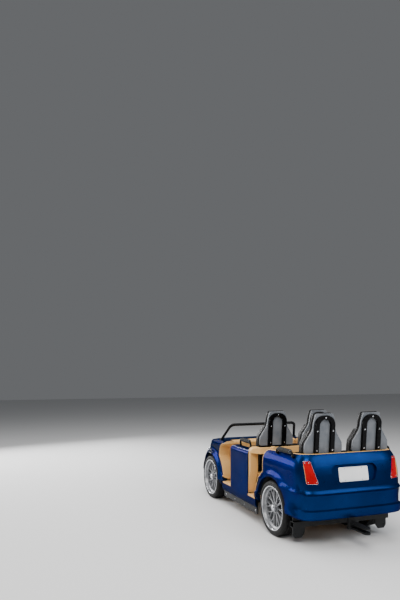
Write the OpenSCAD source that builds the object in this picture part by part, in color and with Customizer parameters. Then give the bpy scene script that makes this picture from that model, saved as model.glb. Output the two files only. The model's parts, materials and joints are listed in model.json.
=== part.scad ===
// Roller coaster car: one open four-seat car of a train, with a moulded body on a steel chassis.
// X points the way the car travels, Y to its left and Z up, from the middle of its floor outline.

/* [Overall] */
// Distance between the front and the rear coupling pin
pin_pitch = 3300; // [3280:10:3400]
// Distance between the front and the rear axle
wheelbase = 1820; // [1800:10:1840]
// Distance from the rear coupling pin forward to the rear axle
rear_pin_to_axle = 790; // [780:5:800]
// Distance from the rear axle back to the tail
rear_overhang = 650; // [630:5:660]
// Distance from the front axle forward to the nose
front_overhang = 500; // [490:5:510]
// Half of the body's width at the doors, without the arch flares
body_half_w = 620; // [615:1:635]
// Thickness of the moulded body wall
wall = 14; // [10:1:18]

/* [Doorways] */
// Length of the blue side panel between the two doorways
panel_len = 500; // [480:5:520]
// Length of the rear doorway
rear_door_len = 390; // [380:5:400]
// Height of the door sill treads above the floor that the car stands on
sill_z = 316; // [312:1:325]
// Height of the underside of the rocker
rocker_z = 200; // [190:2:210]
// Height of the top of the side panel
panel_top_z = 835; // [825:1:845]

/* [Wheels] */
// Outer radius of a show tyre
tyre_r = 290; // [285:1:295]
// Width of a show tyre
tyre_w = 165; // [155:1:170]
// How far the outer face of a show tyre stands outside the doors
tyre_stand = 2; // [-2:1:6]
// Radius of the wheel rim
rim_r = 236; // [230:1:240]
// Number of spoke pairs in a wheel
spoke_pairs = 10; // [8:1:12]
// Radius of the wheel arch opening
arch_r = 335; // [330:1:340]
// Radius of the outer edge of the arch flare
flare_r = 412; // [405:1:420]
// How far the flare stands proud of the body
flare_proud = 24; // [15:1:30]

/* [Seats] */
// Gap from a seat's outer edge to the outside of the doors
seat_side_gap = 117; // [112:1:122]
// Width of the seat shell at its shoulders' foot
seat_w = 440; // [430:1:444]
// Width of the seat shell at its top
seat_top_w = 204; // [196:1:214]
// Thickness of the seat shell
shell_t = 18; // [14:1:22]
// Recline of the seat backs in degrees
recline = 4.4; // [3:0.2:6]
// Height of the rear row's cushion top
rear_cushion_z = 690; // [680:1:700]
// How much lower the front row sits
row_drop = 45; // [40:1:55]
// Distance between the seat backs of the two rows
row_pitch = 987; // [980:1:995]
// Height of the seat shell above the cushion
shell_h = 640; // [620:1:660]

/* [Rail gear] */
// Distance of the rail's middle from the car's middle
rail_y = 360; // [355:1:362]
// Radius of a running wheel
run_r = 85; // [80:1:86]
// Height of the running wheels' axle
run_z = 255; // [253:1:257]
// Running clearance between a pin and its bore
fit = 0.05; // [0.03:0.01:0.09]

/* [Hidden] */

BLUE = [0.05, 0.17, 0.45];
TAN = [0.78, 0.62, 0.42];
GREY = [0.45, 0.47, 0.50];
BLACK = [0.08, 0.08, 0.09];
STEEL = [0.25, 0.26, 0.28];
SILVER = [0.80, 0.81, 0.83];

// Places along the car
rear_pin_x = -pin_pitch / 2;
front_pin_x = pin_pitch / 2;
rear_axle_x = rear_pin_x + rear_pin_to_axle;
front_axle_x = rear_axle_x + wheelbase;
tail_x = rear_axle_x - rear_overhang;
nose_x = front_axle_x + front_overhang;
panel_rear_x = (rear_axle_x + front_axle_x) / 2 - 50 - panel_len / 2;
panel_front_x = panel_rear_x + panel_len;
quarter_x = panel_rear_x - rear_door_len;
axle_z = tyre_r;
tyre_face_y = body_half_w + tyre_stand;
tyre_inner_y = tyre_face_y - tyre_w;
seat_y = body_half_w - seat_side_gap - seat_w / 2;
touch = 0.3;
big = 4000;

// Doorway edges concentric with the arches
front_door_r = flare_r + 48;
rear_door_r = flare_r + 6;

// Rear body levels: height, setback of the tail, inset of the sides, squareness of the plan
REAR_LEVELS = [
    [296, 34, 14, 7.5], [306, 12, 2, 7.5], [326, 0, -6, 7.5], [388, 0, -8, 7.5], [402, 22, 8, 7.5],
    [470, 20, 9, 7.5], [540, 16, 6, 7.5], [556, 4, -2, 7.5], [568, 6, 0, 7.5], [592, 26, 10, 7.5],
    [660, 34, 5, 7.5], [740, 46, 5, 7.5], [800, 60, 11, 7.5], [845, 72, 22, 8],
    [880, 84, 36, 8], [905, 96, 50, 8], [922, 106, 60, 8], [930, 112, 68, 8]
];
// Front body levels: height, setback of the nose, inset of the sides, squareness of the plan
FRONT_LEVELS = [
    [250, 70, 30, 5], [264, 30, 8, 5], [290, 6, -4, 5], [380, 0, -6, 5], [396, 20, 8, 5],
    [500, 22, 8, 5], [545, 34, 6, 4.8], [590, 58, 6, 4.6], [635, 95, 8, 4.4],
    [680, 150, 12, 4.2], [720, 205, 13, 4.6], [755, 265, 13, 5], [785, 320, 13, 5.5],
    [808, 380, 15, 6], [824, 470, 26, 5], [834, 590, 50, 4], [838, 700, 84, 3.4]
];

// Plan ring at height z: a superellipse end between x0 and x1, open straight back to x_open
function ring(x0, x1, w, n, z, x_open, steps = 11) =
    let (half = [for (i = [0:steps])
        [x0 + (x1 - x0) * pow(sin(90 * i / steps), 2 / n), w * pow(cos(90 * i / steps), 2 / n)]])
    concat([[x_open, w, z]],
           [for (p = half) [p[0], p[1], z]],
           [for (i = [steps - 1:-1:0]) [half[i][0], -half[i][1], z]],
           [[x_open, -w, z]]);

// Solid of stacked rings: dir is -1 towards the tail and 1 towards the nose
module stack(levels, dir, x0, x1, x_open, grow = 0, lift = 0) {
    for (i = [0:len(levels) - 2]) {
        a = levels[i];
        b = levels[i + 1];
        ring_a = ring(x0, x1 + dir * (grow - a[1]), body_half_w - a[2] + grow, a[3], a[0] + lift, x_open);
        ring_b = ring(x0, x1 + dir * (grow - b[1]), body_half_w - b[2] + grow, b[3], b[0] + lift, x_open);
        ids = [for (k = [0:len(ring_a) - 1]) k];
        hull() polyhedron(points = concat(ring_a, ring_b), faces = [ids, [for (k = ids) k + len(ring_a)]]);
    }
}

// Upright prism of one level's plan, grown by grow, from z0 to z1
module prism(level, dir, x0, x1, x_open, grow, z0, z1) {
    linear_extrude(height = z1 - z0) polygon([for (p = ring(x0, x1 + dir * (grow - level[1]),
        body_half_w - level[2] + grow, level[3], 0, x_open)) [p[0], p[1]]]);
}

module across(x, z, r, h = big, fn = 96) {
    translate([x, 0, z]) rotate([90, 0, 0]) cylinder(r = r, h = h, center = true, $fn = fn);
}

module both_sides() {
    children();
    mirror([0, 1, 0]) children();
}

module slab_xz(points, h = big) {
    rotate([90, 0, 0]) linear_extrude(height = h, center = true) polygon(points);
}

// Points of an arc about [cx, cz], from angle a to angle b
function arc(cx, cz, r, a, b, n = 12) =
    [for (i = [0:n]) let (t = a + (b - a) * i / n) [cx + r * cos(t), cz + r * sin(t)]];

// Half width of a body's skin at x and z, from its levels
function skin_y(levels, x0, x1, x, z) =
    let (setback = lookup(z, [for (l = levels) [l[0], l[1]]]), inset = lookup(z, [for (l = levels) [l[0], l[2]]]),
        n = lookup(z, [for (l = levels) [l[0], l[3]]]), reach = abs(x1 - x0) - setback,
        u = min(0.999, max(0, (x - x0) * sign(x1 - x0)) / reach))
    (body_half_w - inset) * pow(1 - pow(u, n), 1 / n);

// Arch flare on the left: it stands proud at the arch and fades into the skin at its outer edge.
// Each station is a share of the way from the arch to the outer edge, and of the flare's height.
FLARE_STATIONS = [[-0.14, 0.88], [0, 0.96], [0.16, 1], [0.42, 0.72], [0.72, 0.34], [1.04, -0.12]];
flare_deep = 20;

module flare(levels, x0, x1, axle_x, radii) {
    n = len(FLARE_STATIONS);
    m = len(radii);
    rows = [for (e = radii) [for (f = FLARE_STATIONS)
        let (r = arch_r + f[0] * (e[1] - arch_r), x = axle_x + r * cos(e[0]), z = axle_z + r * sin(e[0]),
            y = skin_y(levels, x0, x1, x, z))
        [[x, y + f[1] * flare_proud, z], [x, y - flare_deep, z]]]];
    points = [for (side = [0, 1], row = rows, p = row) p[side]];
    out = function(i, j) i * n + j;
    in = function(i, j) m * n + i * n + j;
    quad = function(a, b, c, d) [[a, b, c], [a, c, d]];
    faces = concat(
        [for (i = [0:m - 2], j = [0:n - 2], f = quad(out(i, j), out(i, j + 1), out(i + 1, j + 1), out(i + 1, j))) f],
        [for (i = [0:m - 2], j = [0:n - 2], f = quad(in(i, j), in(i + 1, j), in(i + 1, j + 1), in(i, j + 1))) f],
        [for (i = [0:m - 2], f = quad(out(i, 0), out(i + 1, 0), in(i + 1, 0), in(i, 0))) f],
        [for (i = [0:m - 2], f = quad(out(i, n - 1), in(i, n - 1), in(i + 1, n - 1), out(i + 1, n - 1))) f],
        [for (j = [0:n - 2], f = quad(out(0, j), in(0, j), in(0, j + 1), out(0, j + 1))) f],
        [for (j = [0:n - 2], f = quad(out(m - 1, j), out(m - 1, j + 1), in(m - 1, j + 1), in(m - 1, j))) f]);
    polyhedron(points = points, faces = faces);
}

// Rear body
rear_mid_x = rear_axle_x - 90;
deck_front_z = 888;
deck_rear_z = 931;
quarter_r = 95;
quarter_bow_z = 700;
// Flare radii by angle: it widens rearwards and runs out into the bumper lip
flare_foot = 7;
flare_swell = 2.3;
REAR_FLARE = [for (a = [flare_foot:8:175]) [a, flare_r + flare_swell * max(0, a - 105)]];
FRONT_FLARE = [for (a = [flare_foot:8:175]) [a, flare_r]];
recess_w = 540;
recess_foot_w = 480;
recess_top_r = 62;
recess_foot_r = 30;
recess_h = 172;
recess_z = 738;
recess_deep = 30;
tail_lean = 10.5;

// Height of the deck line at x
function deck_z(x) = deck_front_z + (deck_rear_z - deck_front_z) * (quarter_x - x) / (quarter_x - tail_x - 112);

module rear_stack(grow = 0, lift = 0, open = 300) {
    stack(REAR_LEVELS, -1, rear_mid_x, tail_x, quarter_x + open, grow, lift);
}

module tail_frame() {
    translate([tail_x + 46, 0, recess_z]) rotate([0, tail_lean, 0]) children();
}

// Block with a rounded outline, wider at its top
module recess_block(grow, depth) {
    top_y = recess_w / 2 - recess_top_r;
    foot_y = recess_foot_w / 2 - recess_foot_r;
    hull() for (y = [-1, 1], e = [[top_y, recess_h / 2 - recess_top_r, recess_top_r],
            [foot_y, recess_foot_r - recess_h / 2, recess_foot_r]])
        translate([-60, y * e[0], e[1]]) rotate([0, 90, 0]) cylinder(r = e[2] + grow, h = 60 + depth, $fn = 48);
}

// Left tail lamp's outline about its middle, in the plane of its face: y to the left, z up
LAMP_OUTLINE = [[-87, -112], [36, -112], [62, 111], [-11, 111]];
LAMP_MIDDLE = [tail_x + 83, body_half_w - 117, 762];
lamp_lean = 12;
lamp_turn = 19;
lamp_t = 14;

module lamp_solid(t, grow = 0, out = 0) {
    translate(LAMP_MIDDLE) rotate([0, lamp_lean, -lamp_turn]) translate([-out, 0, 0]) rotate([90, 0, 90])
        linear_extrude(height = t + out) offset(r = 12 + grow, $fn = 24) offset(delta = -12) polygon(LAMP_OUTLINE);
}

// Rear doorway in side view: round the arch, up the quarter's edge and back over its rounded corner
module rear_door_plan() {
    polygon(concat([[quarter_x + 400, 0], [quarter_x + 400, 1200], [quarter_x - quarter_r, 1200]],
        arc(quarter_x - quarter_r, deck_z(quarter_x - quarter_r) - quarter_r, quarter_r, 90, 0),
        [[quarter_x, quarter_bow_z]], arc(rear_axle_x, axle_z, rear_door_r, 58, -30)));
}

module rear_body() color(BLUE) {
    difference() {
        union() {
            difference() {
                union() {
                    rear_stack();
                    both_sides() flare(REAR_LEVELS, rear_mid_x, tail_x, rear_axle_x, REAR_FLARE);
                }
                // Hollow inside, above a flange turned in at the foot, and open at the rim
                intersection() {
                    rear_stack(-wall, 0, 340);
                    translate([-big / 2, -big / 2, REAR_LEVELS[3][0] - 30]) cube(big);
                }
                translate([0, 0, REAR_LEVELS[0][0] - 1])
                    prism(REAR_LEVELS[0], -1, rear_mid_x, tail_x, quarter_x + 360, -wall - 3, 0, 110);
                translate([0, 0, deck_front_z - 40])
                    prism(REAR_LEVELS[17], -1, rear_mid_x, tail_x, quarter_x + 380, -wall - 1, 0, 200);
            }
            // Pan behind the number plate and seats behind the tail lamps
            intersection() {
                tail_frame() recess_block(10, recess_deep + 8);
                rear_stack(-2, 0, 280);
            }
            intersection() {
                both_sides() lamp_solid(lamp_t + wall, 14, 60);
                rear_stack(-2, 0, 280);
            }
        }
        tail_frame() recess_block(0, recess_deep);
        both_sides() lamp_solid(lamp_t, touch, 80);
        across(rear_axle_x, axle_z, arch_r);
        rotate([90, 0, 0]) linear_extrude(height = big, center = true) rear_door_plan();
        // Deck line rising to the tail
        slab_xz([[quarter_x + 10, deck_z(quarter_x + 10)], [tail_x + 112, deck_rear_z], [tail_x - 50, deck_rear_z],
            [tail_x - 50, 1200], [quarter_x + 10, 1200]]);
    }
}

// Front body
front_mid_x = front_axle_x - 330;
door_top_x = panel_front_x + 330;
headlamp_r = 88;
headlamp_x = nose_x - 105;
headlamp_y = body_half_w - 195;
headlamp_z = 590;
grille_w = 640;
grille_top_z = 520;
grille_foot_z = 408;

module front_stack(grow = 0, lift = 0, open = 250) {
    stack(FRONT_LEVELS, 1, front_mid_x, nose_x, front_mid_x - open, grow, lift);
}

module headlamp_place() {
    translate([headlamp_x, headlamp_y, headlamp_z]) rotate([0, 0, 20]) rotate([0, 62, 0]) children();
}

// Front doorway edge: round the flare, forward at mid height and back to the hoop's foot
module front_door_plan() {
    polygon(concat(arc(front_axle_x, axle_z, front_door_r, 186, 138),
        arc(door_top_x - 65, 665, 145, -14, 98, 14),
        [[door_top_x - 120, 1300], [panel_rear_x, 1300], [panel_rear_x, 200]]));
}

module front_body() color(BLUE) {
    difference() {
        union() {
            difference() {
                union() {
                    front_stack();
                    both_sides() flare(FRONT_LEVELS, front_mid_x, nose_x, front_axle_x, FRONT_FLARE);
                }
                // Hollow inside, above a flange turned in at the foot
                intersection() {
                    front_stack(-wall, -wall, 290);
                    translate([-big / 2, -big / 2, FRONT_LEVELS[3][0] - 40]) cube(big);
                }
                translate([0, 0, FRONT_LEVELS[0][0] - 1])
                    prism(FRONT_LEVELS[0], 1, front_mid_x, nose_x, front_mid_x - 310, -wall - 3, 0, 110);
            }
            intersection() {
                both_sides() headlamp_place() translate([0, 0, -90])
                    cylinder(r = headlamp_r + 12, h = 180, $fn = 64);
                front_stack(-2, 0, 230);
            }
        }
        both_sides() headlamp_place() translate([0, 0, -40])
            cylinder(r = headlamp_r + touch, h = 200, $fn = 64);
        both_sides() headlamp_place() translate([0, 0, -140])
            cylinder(r = headlamp_r - 14, h = 200, $fn = 64);
        translate([nose_x - 260, -grille_w / 2, grille_foot_z])
            cube([400, grille_w, grille_top_z - grille_foot_z]);
        across(front_axle_x, axle_z, arch_r);
        rotate([90, 0, 0]) linear_extrude(height = big, center = true) front_door_plan();
        translate([-big / 2, -big / 2, -1000]) cube([big / 2 + 560, big, 1000 + sill_z]);
        // Cockpit edge behind the hoop, where the dash starts
        translate([0, 0, 700]) linear_extrude(height = 400) cowl_plan();
    }
}

// Edge of the cowl over the dash, in plan
dash_x = 640;
cowl_bow = 60;
cowl_edge_y = body_half_w - 148;

module cowl_plan() {
    polygon([[0, -cowl_edge_y], [dash_x, -cowl_edge_y], [dash_x + cowl_bow, 0], [dash_x, cowl_edge_y],
        [0, cowl_edge_y]]);
}

// Side panel with its rocker, one moulding on each side
panel_lip = 96;
rocker_front_x = front_axle_x - front_door_r + 30;
rocker_rear_x = rear_axle_x + rear_door_r - 20;

module side_mouldings() color(BLUE) both_sides() {
    section = concat([[body_half_w - wall - 14, rocker_z], [body_half_w - 14, rocker_z],
         [body_half_w, rocker_z + 30], [body_half_w, sill_z]],
        arc(body_half_w - 62, panel_top_z - 62, 62, 0, 90, 10),
        [[body_half_w - panel_lip, panel_top_z], [body_half_w - panel_lip, panel_top_z - wall],
         [body_half_w - 62, panel_top_z - wall]],
        arc(body_half_w - 62, panel_top_z - 62, 62 - wall, 90, 0, 10),
        [[body_half_w - wall, rocker_z + 34]]);
    intersection() {
        translate([-big / 2, 0, 0]) rotate([90, 0, 90]) linear_extrude(height = big) polygon(section);
        slab_xz(concat([[rocker_rear_x, rocker_z - 1], [rocker_front_x, rocker_z - 1], [rocker_front_x, sill_z - 22],
            [panel_front_x, sill_z - 22]],
            arc(panel_front_x - 40, panel_top_z - 39, 40, 0, 90, 6),
            arc(panel_rear_x + 40, panel_top_z - 39, 40, 90, 180, 6),
            [[panel_rear_x, sill_z - 22], [rocker_rear_x, sill_z - 22]]));
    }
}

// Tan floor pan with the sill treads and the two bench risers
floor_t = 22;
floor_z = sill_z - floor_t;
cabin_half_w = body_half_w - panel_lip - 6;
toe_x = front_axle_x - arch_r - 24;
heel_x = rear_axle_x + arch_r + 24;
seat_x = rear_axle_x - 432;
front_seat_x = seat_x + row_pitch;
front_cushion_z = rear_cushion_z - row_drop;
cushion_t = 85;
cushion_len = 430;
bench_t = 18;
bench_back = 45;
bench_half_w = seat_y + seat_w / 2 + 2;
tongue_half_w = tyre_inner_y - 17;
tongue_x = rear_axle_x + run_r + 23;

module floor_tub() color(TAN) {
    bench_z = front_cushion_z - cushion_t - bench_t;
    translate([heel_x, -cabin_half_w, floor_z]) cube([toe_x - heel_x, 2 * cabin_half_w, floor_t]);
    // Rear footwell's floor, between the rear wheels
    translate([tongue_x, -tongue_half_w, floor_z]) cube([heel_x - tongue_x + 1, 2 * tongue_half_w, floor_t]);
    // Treads in the doorways, out to the body's side
    tread_w = body_half_w - 4 - cabin_half_w + 1;
    tread_rear_x = rear_axle_x + rear_door_r + 3;
    both_sides() {
        translate([panel_front_x + touch, cabin_half_w - 1, floor_z])
            cube([rocker_front_x - panel_front_x - 10, tread_w, floor_t]);
        translate([tread_rear_x, cabin_half_w - 1, floor_z])
            cube([panel_rear_x - tread_rear_x - touch, tread_w, floor_t]);
    }
    // Front bench: a shelf on three walls, open for the feet behind
    translate([front_seat_x - bench_back, -bench_half_w, bench_z])
        cube([cushion_len + 40 + bench_back, 2 * bench_half_w, bench_t]);
    for (y = [-bench_half_w, -bench_t / 2, bench_half_w - bench_t]) translate([front_seat_x + 140, y, sill_z - 1])
        cube([cushion_len - 100, bench_t, bench_z - sill_z + 2]);
}

// Dash with the front jambs: a wall from the floor to the cowl with a rolled top
dash_top_z = 832;
dash_wall_x = 560;
dash_t = 18;
dash_half_w = cowl_edge_y - 2;
cheek_t = 12;
dash_roll_r = 24;
jamb_t = 16;
cheek_foot_z = axle_z + 208;
bead_w = 7;

module dash_cowl() color(TAN) {
    roll_x = dash_wall_x - 8;
    intersection() {
        slab_xz(concat([[dash_wall_x, sill_z + touch], [dash_wall_x + dash_t, sill_z + touch],
            [dash_wall_x + dash_t, dash_top_z - 30], [dash_x + cowl_bow, dash_top_z - 12],
            [dash_x + cowl_bow, dash_top_z]],
            arc(roll_x, dash_top_z - dash_roll_r, dash_roll_r, 90, 200, 8),
            [[roll_x - 4, dash_top_z - 70], [dash_wall_x, dash_top_z - 130]]), 2 * dash_half_w);
        translate([0, 0, sill_z]) linear_extrude(height = 600) offset(delta = -touch) cowl_plan();
    }
    both_sides() {
        door_jamb(FRONT_LEVELS, dash_half_w - 4, panel_front_x + 60, toe_x + 80, wall + touch) front_door_plan();
        // Cheek between the dash and the jamb, above the wheel well
        translate([dash_wall_x + 4, dash_half_w - cheek_t - 1, cheek_foot_z])
            cube([door_top_x + 92 - dash_wall_x, cheek_t, dash_top_z - 14 - cheek_foot_z]);
    }
}

// Section of the space from in_y out to the skin, inset by t and lowered by drop from the skin's outside
function jamb_section(levels, in_y, foot_z, t, drop) =
    let (used = [for (l = levels) if (l[0] > sill_z + 20 && body_half_w - l[2] - wall - 3 > cabin_half_w) l])
    concat([[in_y, foot_z]],
        [for (l = used) [body_half_w - l[2] - t, l[0] - drop]],
        [[in_y, used[len(used) - 1][0] - drop]]);

// Strip along a doorway's edge, from the cabin's side out to the skin, with a bead over the skin's edge
module door_jamb(levels, in_y, x_from, x_to, drop) {
    intersection() {
        rotate([90, 0, 0]) linear_extrude(height = big, center = true) difference() {
            offset(delta = jamb_t) children();
            offset(delta = 1 - bead_w) children();
        }
        translate([x_from, 0, 0]) rotate([90, 0, 90]) linear_extrude(height = x_to - x_from)
            polygon(jamb_section(levels, in_y, sill_z + touch, wall + 2 * touch, drop));
    }
    intersection() {
        rotate([90, 0, 0]) linear_extrude(height = big, center = true) difference() {
            offset(delta = -touch) children();
            offset(delta = -bead_w) children();
        }
        translate([x_from, 0, 0]) rotate([90, 0, 90]) linear_extrude(height = x_to - x_from)
            polygon(jamb_section(levels, in_y + 8, sill_z + 2, -2, 0));
    }
}

// Tan bulkhead behind the front row: leaning posts and the rail between them, set back behind the seats
rail_top_z = 868;
rail_foot_z = 800;
rail_t = 54;
rail_x = front_seat_x - 117;
post_gap = 2.7;
post_bend_z = 620;
post_r = 60;

module mid_bulkhead() color(TAN) {
    x1 = panel_rear_x - touch;
    outer = body_half_w - wall - touch;
    inner = bench_half_w + post_gap;
    foot_z = sill_z + touch;
    intersection() {
        translate([-big / 2, 0, 0]) rotate([90, 0, 90]) linear_extrude(height = big) polygon(concat(
            [[-outer, foot_z]], arc(-outer + post_r, rail_top_z - post_r, post_r, 180, 90, 8),
            arc(outer - post_r, rail_top_z - post_r, post_r, 90, 0, 8), [[outer, foot_z], [inner, foot_z],
            [inner, rail_foot_z], [-inner, rail_foot_z], [-inner, foot_z]]));
        union() {
            both_sides() translate([0, (inner + outer) / 2, 0]) slab_xz([[x1 + 100, foot_z], [x1 + 35, foot_z],
                [x1 - rail_t, post_bend_z - 20], [x1 - rail_t, rail_foot_z + 1], [x1, rail_foot_z + 1],
                [x1, post_bend_z]], outer - inner);
            translate([0, 0, rail_foot_z]) linear_extrude(height = 100) offset(r = 16, $fn = 32)
                offset(delta = -16) polygon([[x1, outer], [x1 - rail_t, outer], [rail_x, inner + 30],
                    [rail_x, -inner - 30], [x1 - rail_t, -outer], [x1, -outer], [x1, -inner],
                    [rail_x + rail_t, -inner], [rail_x + rail_t, inner], [x1, inner]]);
        }
    }
}

// Black panel hung under the rail, behind the front seats
back_panel_x = rail_x + 22;
back_panel_t = 10;
back_panel_foot_z = 560;

module back_panel() color(BLACK) {
    half_w = bench_half_w - 6;
    h = rail_foot_z - touch - back_panel_foot_z;
    translate([back_panel_x, 0, back_panel_foot_z]) rotate([90, 0, 90]) linear_extrude(height = back_panel_t)
        polygon(concat(arc(40 - half_w, 40, 40, 180, 270, 6), arc(half_w - 40, 40, 40, 270, 360, 6),
            [[half_w, h], [-half_w, h]]));
}

// Tan rear tub: deck strip inside the rim, jambs of the rear quarters, footwell sides and the bench
RIM_LEVELS = [for (l = REAR_LEVELS) if (l[0] >= 800) l];
cap_w = 23;
cap_h = 4;
wall_t = 12;
step_z = 452;

module rear_tub() color(TAN) {
    bench_z = rear_cushion_z - cushion_t - bench_t;
    bench_front_x = seat_x + 40 + cushion_len;
    beam_top_z = chassis_high_z + beam_h;
    // Rim strip: a cap on the blue edge with a skirt inside it
    strip_x = quarter_x - quarter_r - 4;
    strip_levels = concat(RIM_LEVELS, [[944, 120, 76, 8]]);
    difference() {
        union() {
            intersection() {
                stack(strip_levels, -1, rear_mid_x, tail_x, quarter_x + 300, -3);
                slab_xz([[strip_x, deck_z(strip_x) + touch], [tail_x + 112, deck_rear_z + touch],
                    [tail_x, deck_rear_z + touch], [tail_x, deck_rear_z + cap_h], [tail_x + 112, deck_rear_z + cap_h],
                    [strip_x, deck_z(strip_x) + cap_h]]);
            }
            intersection() {
                stack(strip_levels, -1, rear_mid_x, tail_x, quarter_x + 300, -wall - 1 - touch);
                slab_xz([[strip_x - 2, 856], [seat_x, 874], [seat_x - 30, 894], [tail_x + 1, 894],
                    [tail_x + 1, deck_rear_z + 2], [tail_x + 112, deck_rear_z + 2],
                    [strip_x - 2, deck_z(strip_x - 2) + 2]]);
            }
        }
        stack(concat([[790, 58, 10, 7.5]], strip_levels, [[960, 126, 82, 8]]), -1, rear_mid_x, tail_x,
            quarter_x + 320, -3 - cap_w);
    }
    both_sides() door_jamb(REAR_LEVELS, cabin_half_w - 2, quarter_x - quarter_r - 20, rear_axle_x + rear_door_r + bead_w, 0)
        rear_door_plan();
    // Bench with a stepped heel board
    translate([seat_x - bench_back, -bench_half_w, bench_z])
        cube([bench_front_x - seat_x + bench_back, 2 * bench_half_w, bench_t]);
    slab_xz([[tongue_x + 2, sill_z + touch], [tongue_x + 2 + wall_t, sill_z + touch], [tongue_x + 2 + wall_t, step_z],
        [bench_front_x, step_z], [bench_front_x, bench_z + 1], [bench_front_x - wall_t, bench_z + 1],
        [bench_front_x - wall_t, step_z - wall_t], [tongue_x + 2, step_z - wall_t]], 2 * tongue_half_w - 2);
    // Footwell sides, inboard of the wheels, and bench legs on the chassis beams
    both_sides() {
        translate([0, tongue_half_w - wall_t / 2 - 1, 0]) slab_xz([[heel_x, sill_z + touch], [heel_x, step_z],
            [bench_front_x, bench_z + 1], [seat_x, bench_z + 1], [seat_x, step_z - wall_t],
            [tongue_x + 2, step_z - wall_t], [tongue_x + 2, sill_z + touch]], wall_t);
        translate([seat_x + 20, chassis_y - bench_t / 2, beam_top_z + touch])
            cube([cushion_len, bench_t, bench_z - beam_top_z]);
    }
}

// Windscreen hoop: two raked legs on foot plates and a top bar, bent from one tube
hoop_r = 19;
hoop_foot_x = 700;
hoop_foot_y = body_half_w - 68;
hoop_foot_z = 851.4;
hoop_pad_tilt = 9;
hoop_top_x = 560;
hoop_top_z = 1046;
hoop_rake = atan((hoop_foot_x - hoop_top_x) / (hoop_top_z - hoop_foot_z));
hoop_rise = (hoop_top_z - hoop_foot_z) / cos(hoop_rake);
hoop_splay = 17;
rod_step = 0.4;
rod_lap = 2;

// Half of an arch bent from rod in the plane of local X and Y: a leg at u, a bend and half of the bar.
// The straights are a little thinner than the bend and end just inside it.
module half_arch(u, rise, splay, bend, r) {
    leg = (rise - bend + bend * sin(splay)) / cos(splay);
    cu = u - leg * sin(splay) - bend * cos(splay);
    translate([u, 0, 0]) rotate([0, 0, splay]) rotate([-90, 0, 0])
        cylinder(r = r - rod_step, h = leg + rod_lap, $fn = 32);
    translate([cu, rise - bend, 0]) rotate([0, 0, splay]) rotate_extrude(angle = 90 - splay, $fn = 64)
        translate([bend, 0]) circle(r = r, $fn = 32);
    translate([0, rise, 0]) rotate([0, 90, 0]) cylinder(r = r - rod_step, h = cu + rod_lap, $fn = 32);
}

module windscreen_hoop() color(BLACK) {
    translate([hoop_foot_x, 0, hoop_foot_z]) rotate([0, -hoop_rake, 0]) rotate([90, 0, 90])
        for (m = [0, 1]) mirror([m, 0, 0]) half_arch(hoop_foot_y, hoop_rise, hoop_splay, 70, hoop_r);
    both_sides() translate([hoop_foot_x, hoop_foot_y, hoop_foot_z - 14.5]) rotate([-hoop_pad_tilt, 0, 0])
        cylinder(r = 27, h = 14, $fn = 48);
}

// Seats: grey back shell, black pad and the bar bolted on the back
module seat_places() {
    for (row = [0, 1], side = [-1, 1])
        translate([seat_x + row * row_pitch, side * seat_y, rear_cushion_z - row * row_drop])
            children();
}

shoulder_z = 300;
waist_z = 460;
shell_foot = 242;
bell_r = 20;

// Bell outline of the seat back from foot up to top, grown or shrunk by g
module bell(g, foot, top = shell_h) {
    w = seat_w / 2;
    t = seat_top_w / 2;
    half = [[w, foot], [w, shoulder_z], [w - 4, shoulder_z + 42], [w - 27, shoulder_z + 78], [t + 38, waist_z],
        [t + 27, waist_z + 35], [t + 21, waist_z + 95], [t, top]];
    offset(r = bell_r + g, $fn = 32) offset(delta = -bell_r)
        polygon(concat(half, [for (i = [len(half) - 1:-1:0]) [-half[i][0], half[i][1]]]));
}

module seat_shells() color(GREY) seat_places() rotate([0, -recline, 0]) {
    translate([-shell_t, 0, 0]) rotate([90, 0, 90]) linear_extrude(height = shell_t) bell(0, shell_foot);
}

pad_t = 62;
wing_t = 46;

module seat_pads() color(BLACK) seat_places() {
    rotate([0, -recline, 0]) {
        // Back pad with raised wings at its edges
        translate([touch, 0, 0]) rotate([90, 0, 90]) linear_extrude(height = pad_t) bell(0, 0);
        translate([pad_t, 0, 0]) rotate([90, 0, 90]) linear_extrude(height = wing_t)
            difference() {
                bell(0, 0);
                bell(-52, -80, shell_h + 10);
                translate([-seat_w, waist_z]) square([2 * seat_w, 400]);
            }
    }
    // Cushion
    translate([pad_t + 6, -seat_w / 2 + 10, -cushion_t + touch]) cube([cushion_len - 36, seat_w - 20, cushion_t - touch]);
}

bar_half_w = 118;
bar_w = 54;
bar_crown = 38;
bar_top_gap = 16;
bar_bend_r = 98;
bar_foot = -82;
BAR_LAYERS = [
    // distance from the shell, thickness, how much narrower on each edge
    [touch, 15, 0], [touch + 14, 11, 4]
];

// Inverted U of the bar, in the plane of the shell
module bar_plan(trim) {
    top = shell_h - bar_top_gap - trim;
    half = bar_half_w - trim;
    foot = bar_foot + trim;
    inner = bar_half_w - bar_w + trim;
    arch_z = shell_h - bar_top_gap - bar_crown - bar_half_w + bar_w;
    difference() {
        union() {
            offset(r = bar_bend_r - trim, $fn = 64) offset(delta = trim - bar_bend_r)
                translate([-half, top - 300]) square([2 * half, 300]);
            translate([-half, foot]) square([2 * half, top - bar_bend_r - 20 - foot]);
        }
        translate([0, arch_z]) circle(r = inner, $fn = 64);
        translate([-inner, foot - 1]) square([2 * inner, arch_z + 1 - foot]);
    }
}

module seat_back_bars() color(BLACK) seat_places() rotate([0, -recline, 0]) for (l = BAR_LAYERS)
    translate([-shell_t - l[0] - l[1], 0, 0]) rotate([90, 0, 90]) linear_extrude(height = l[1]) bar_plan(l[2]);

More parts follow.
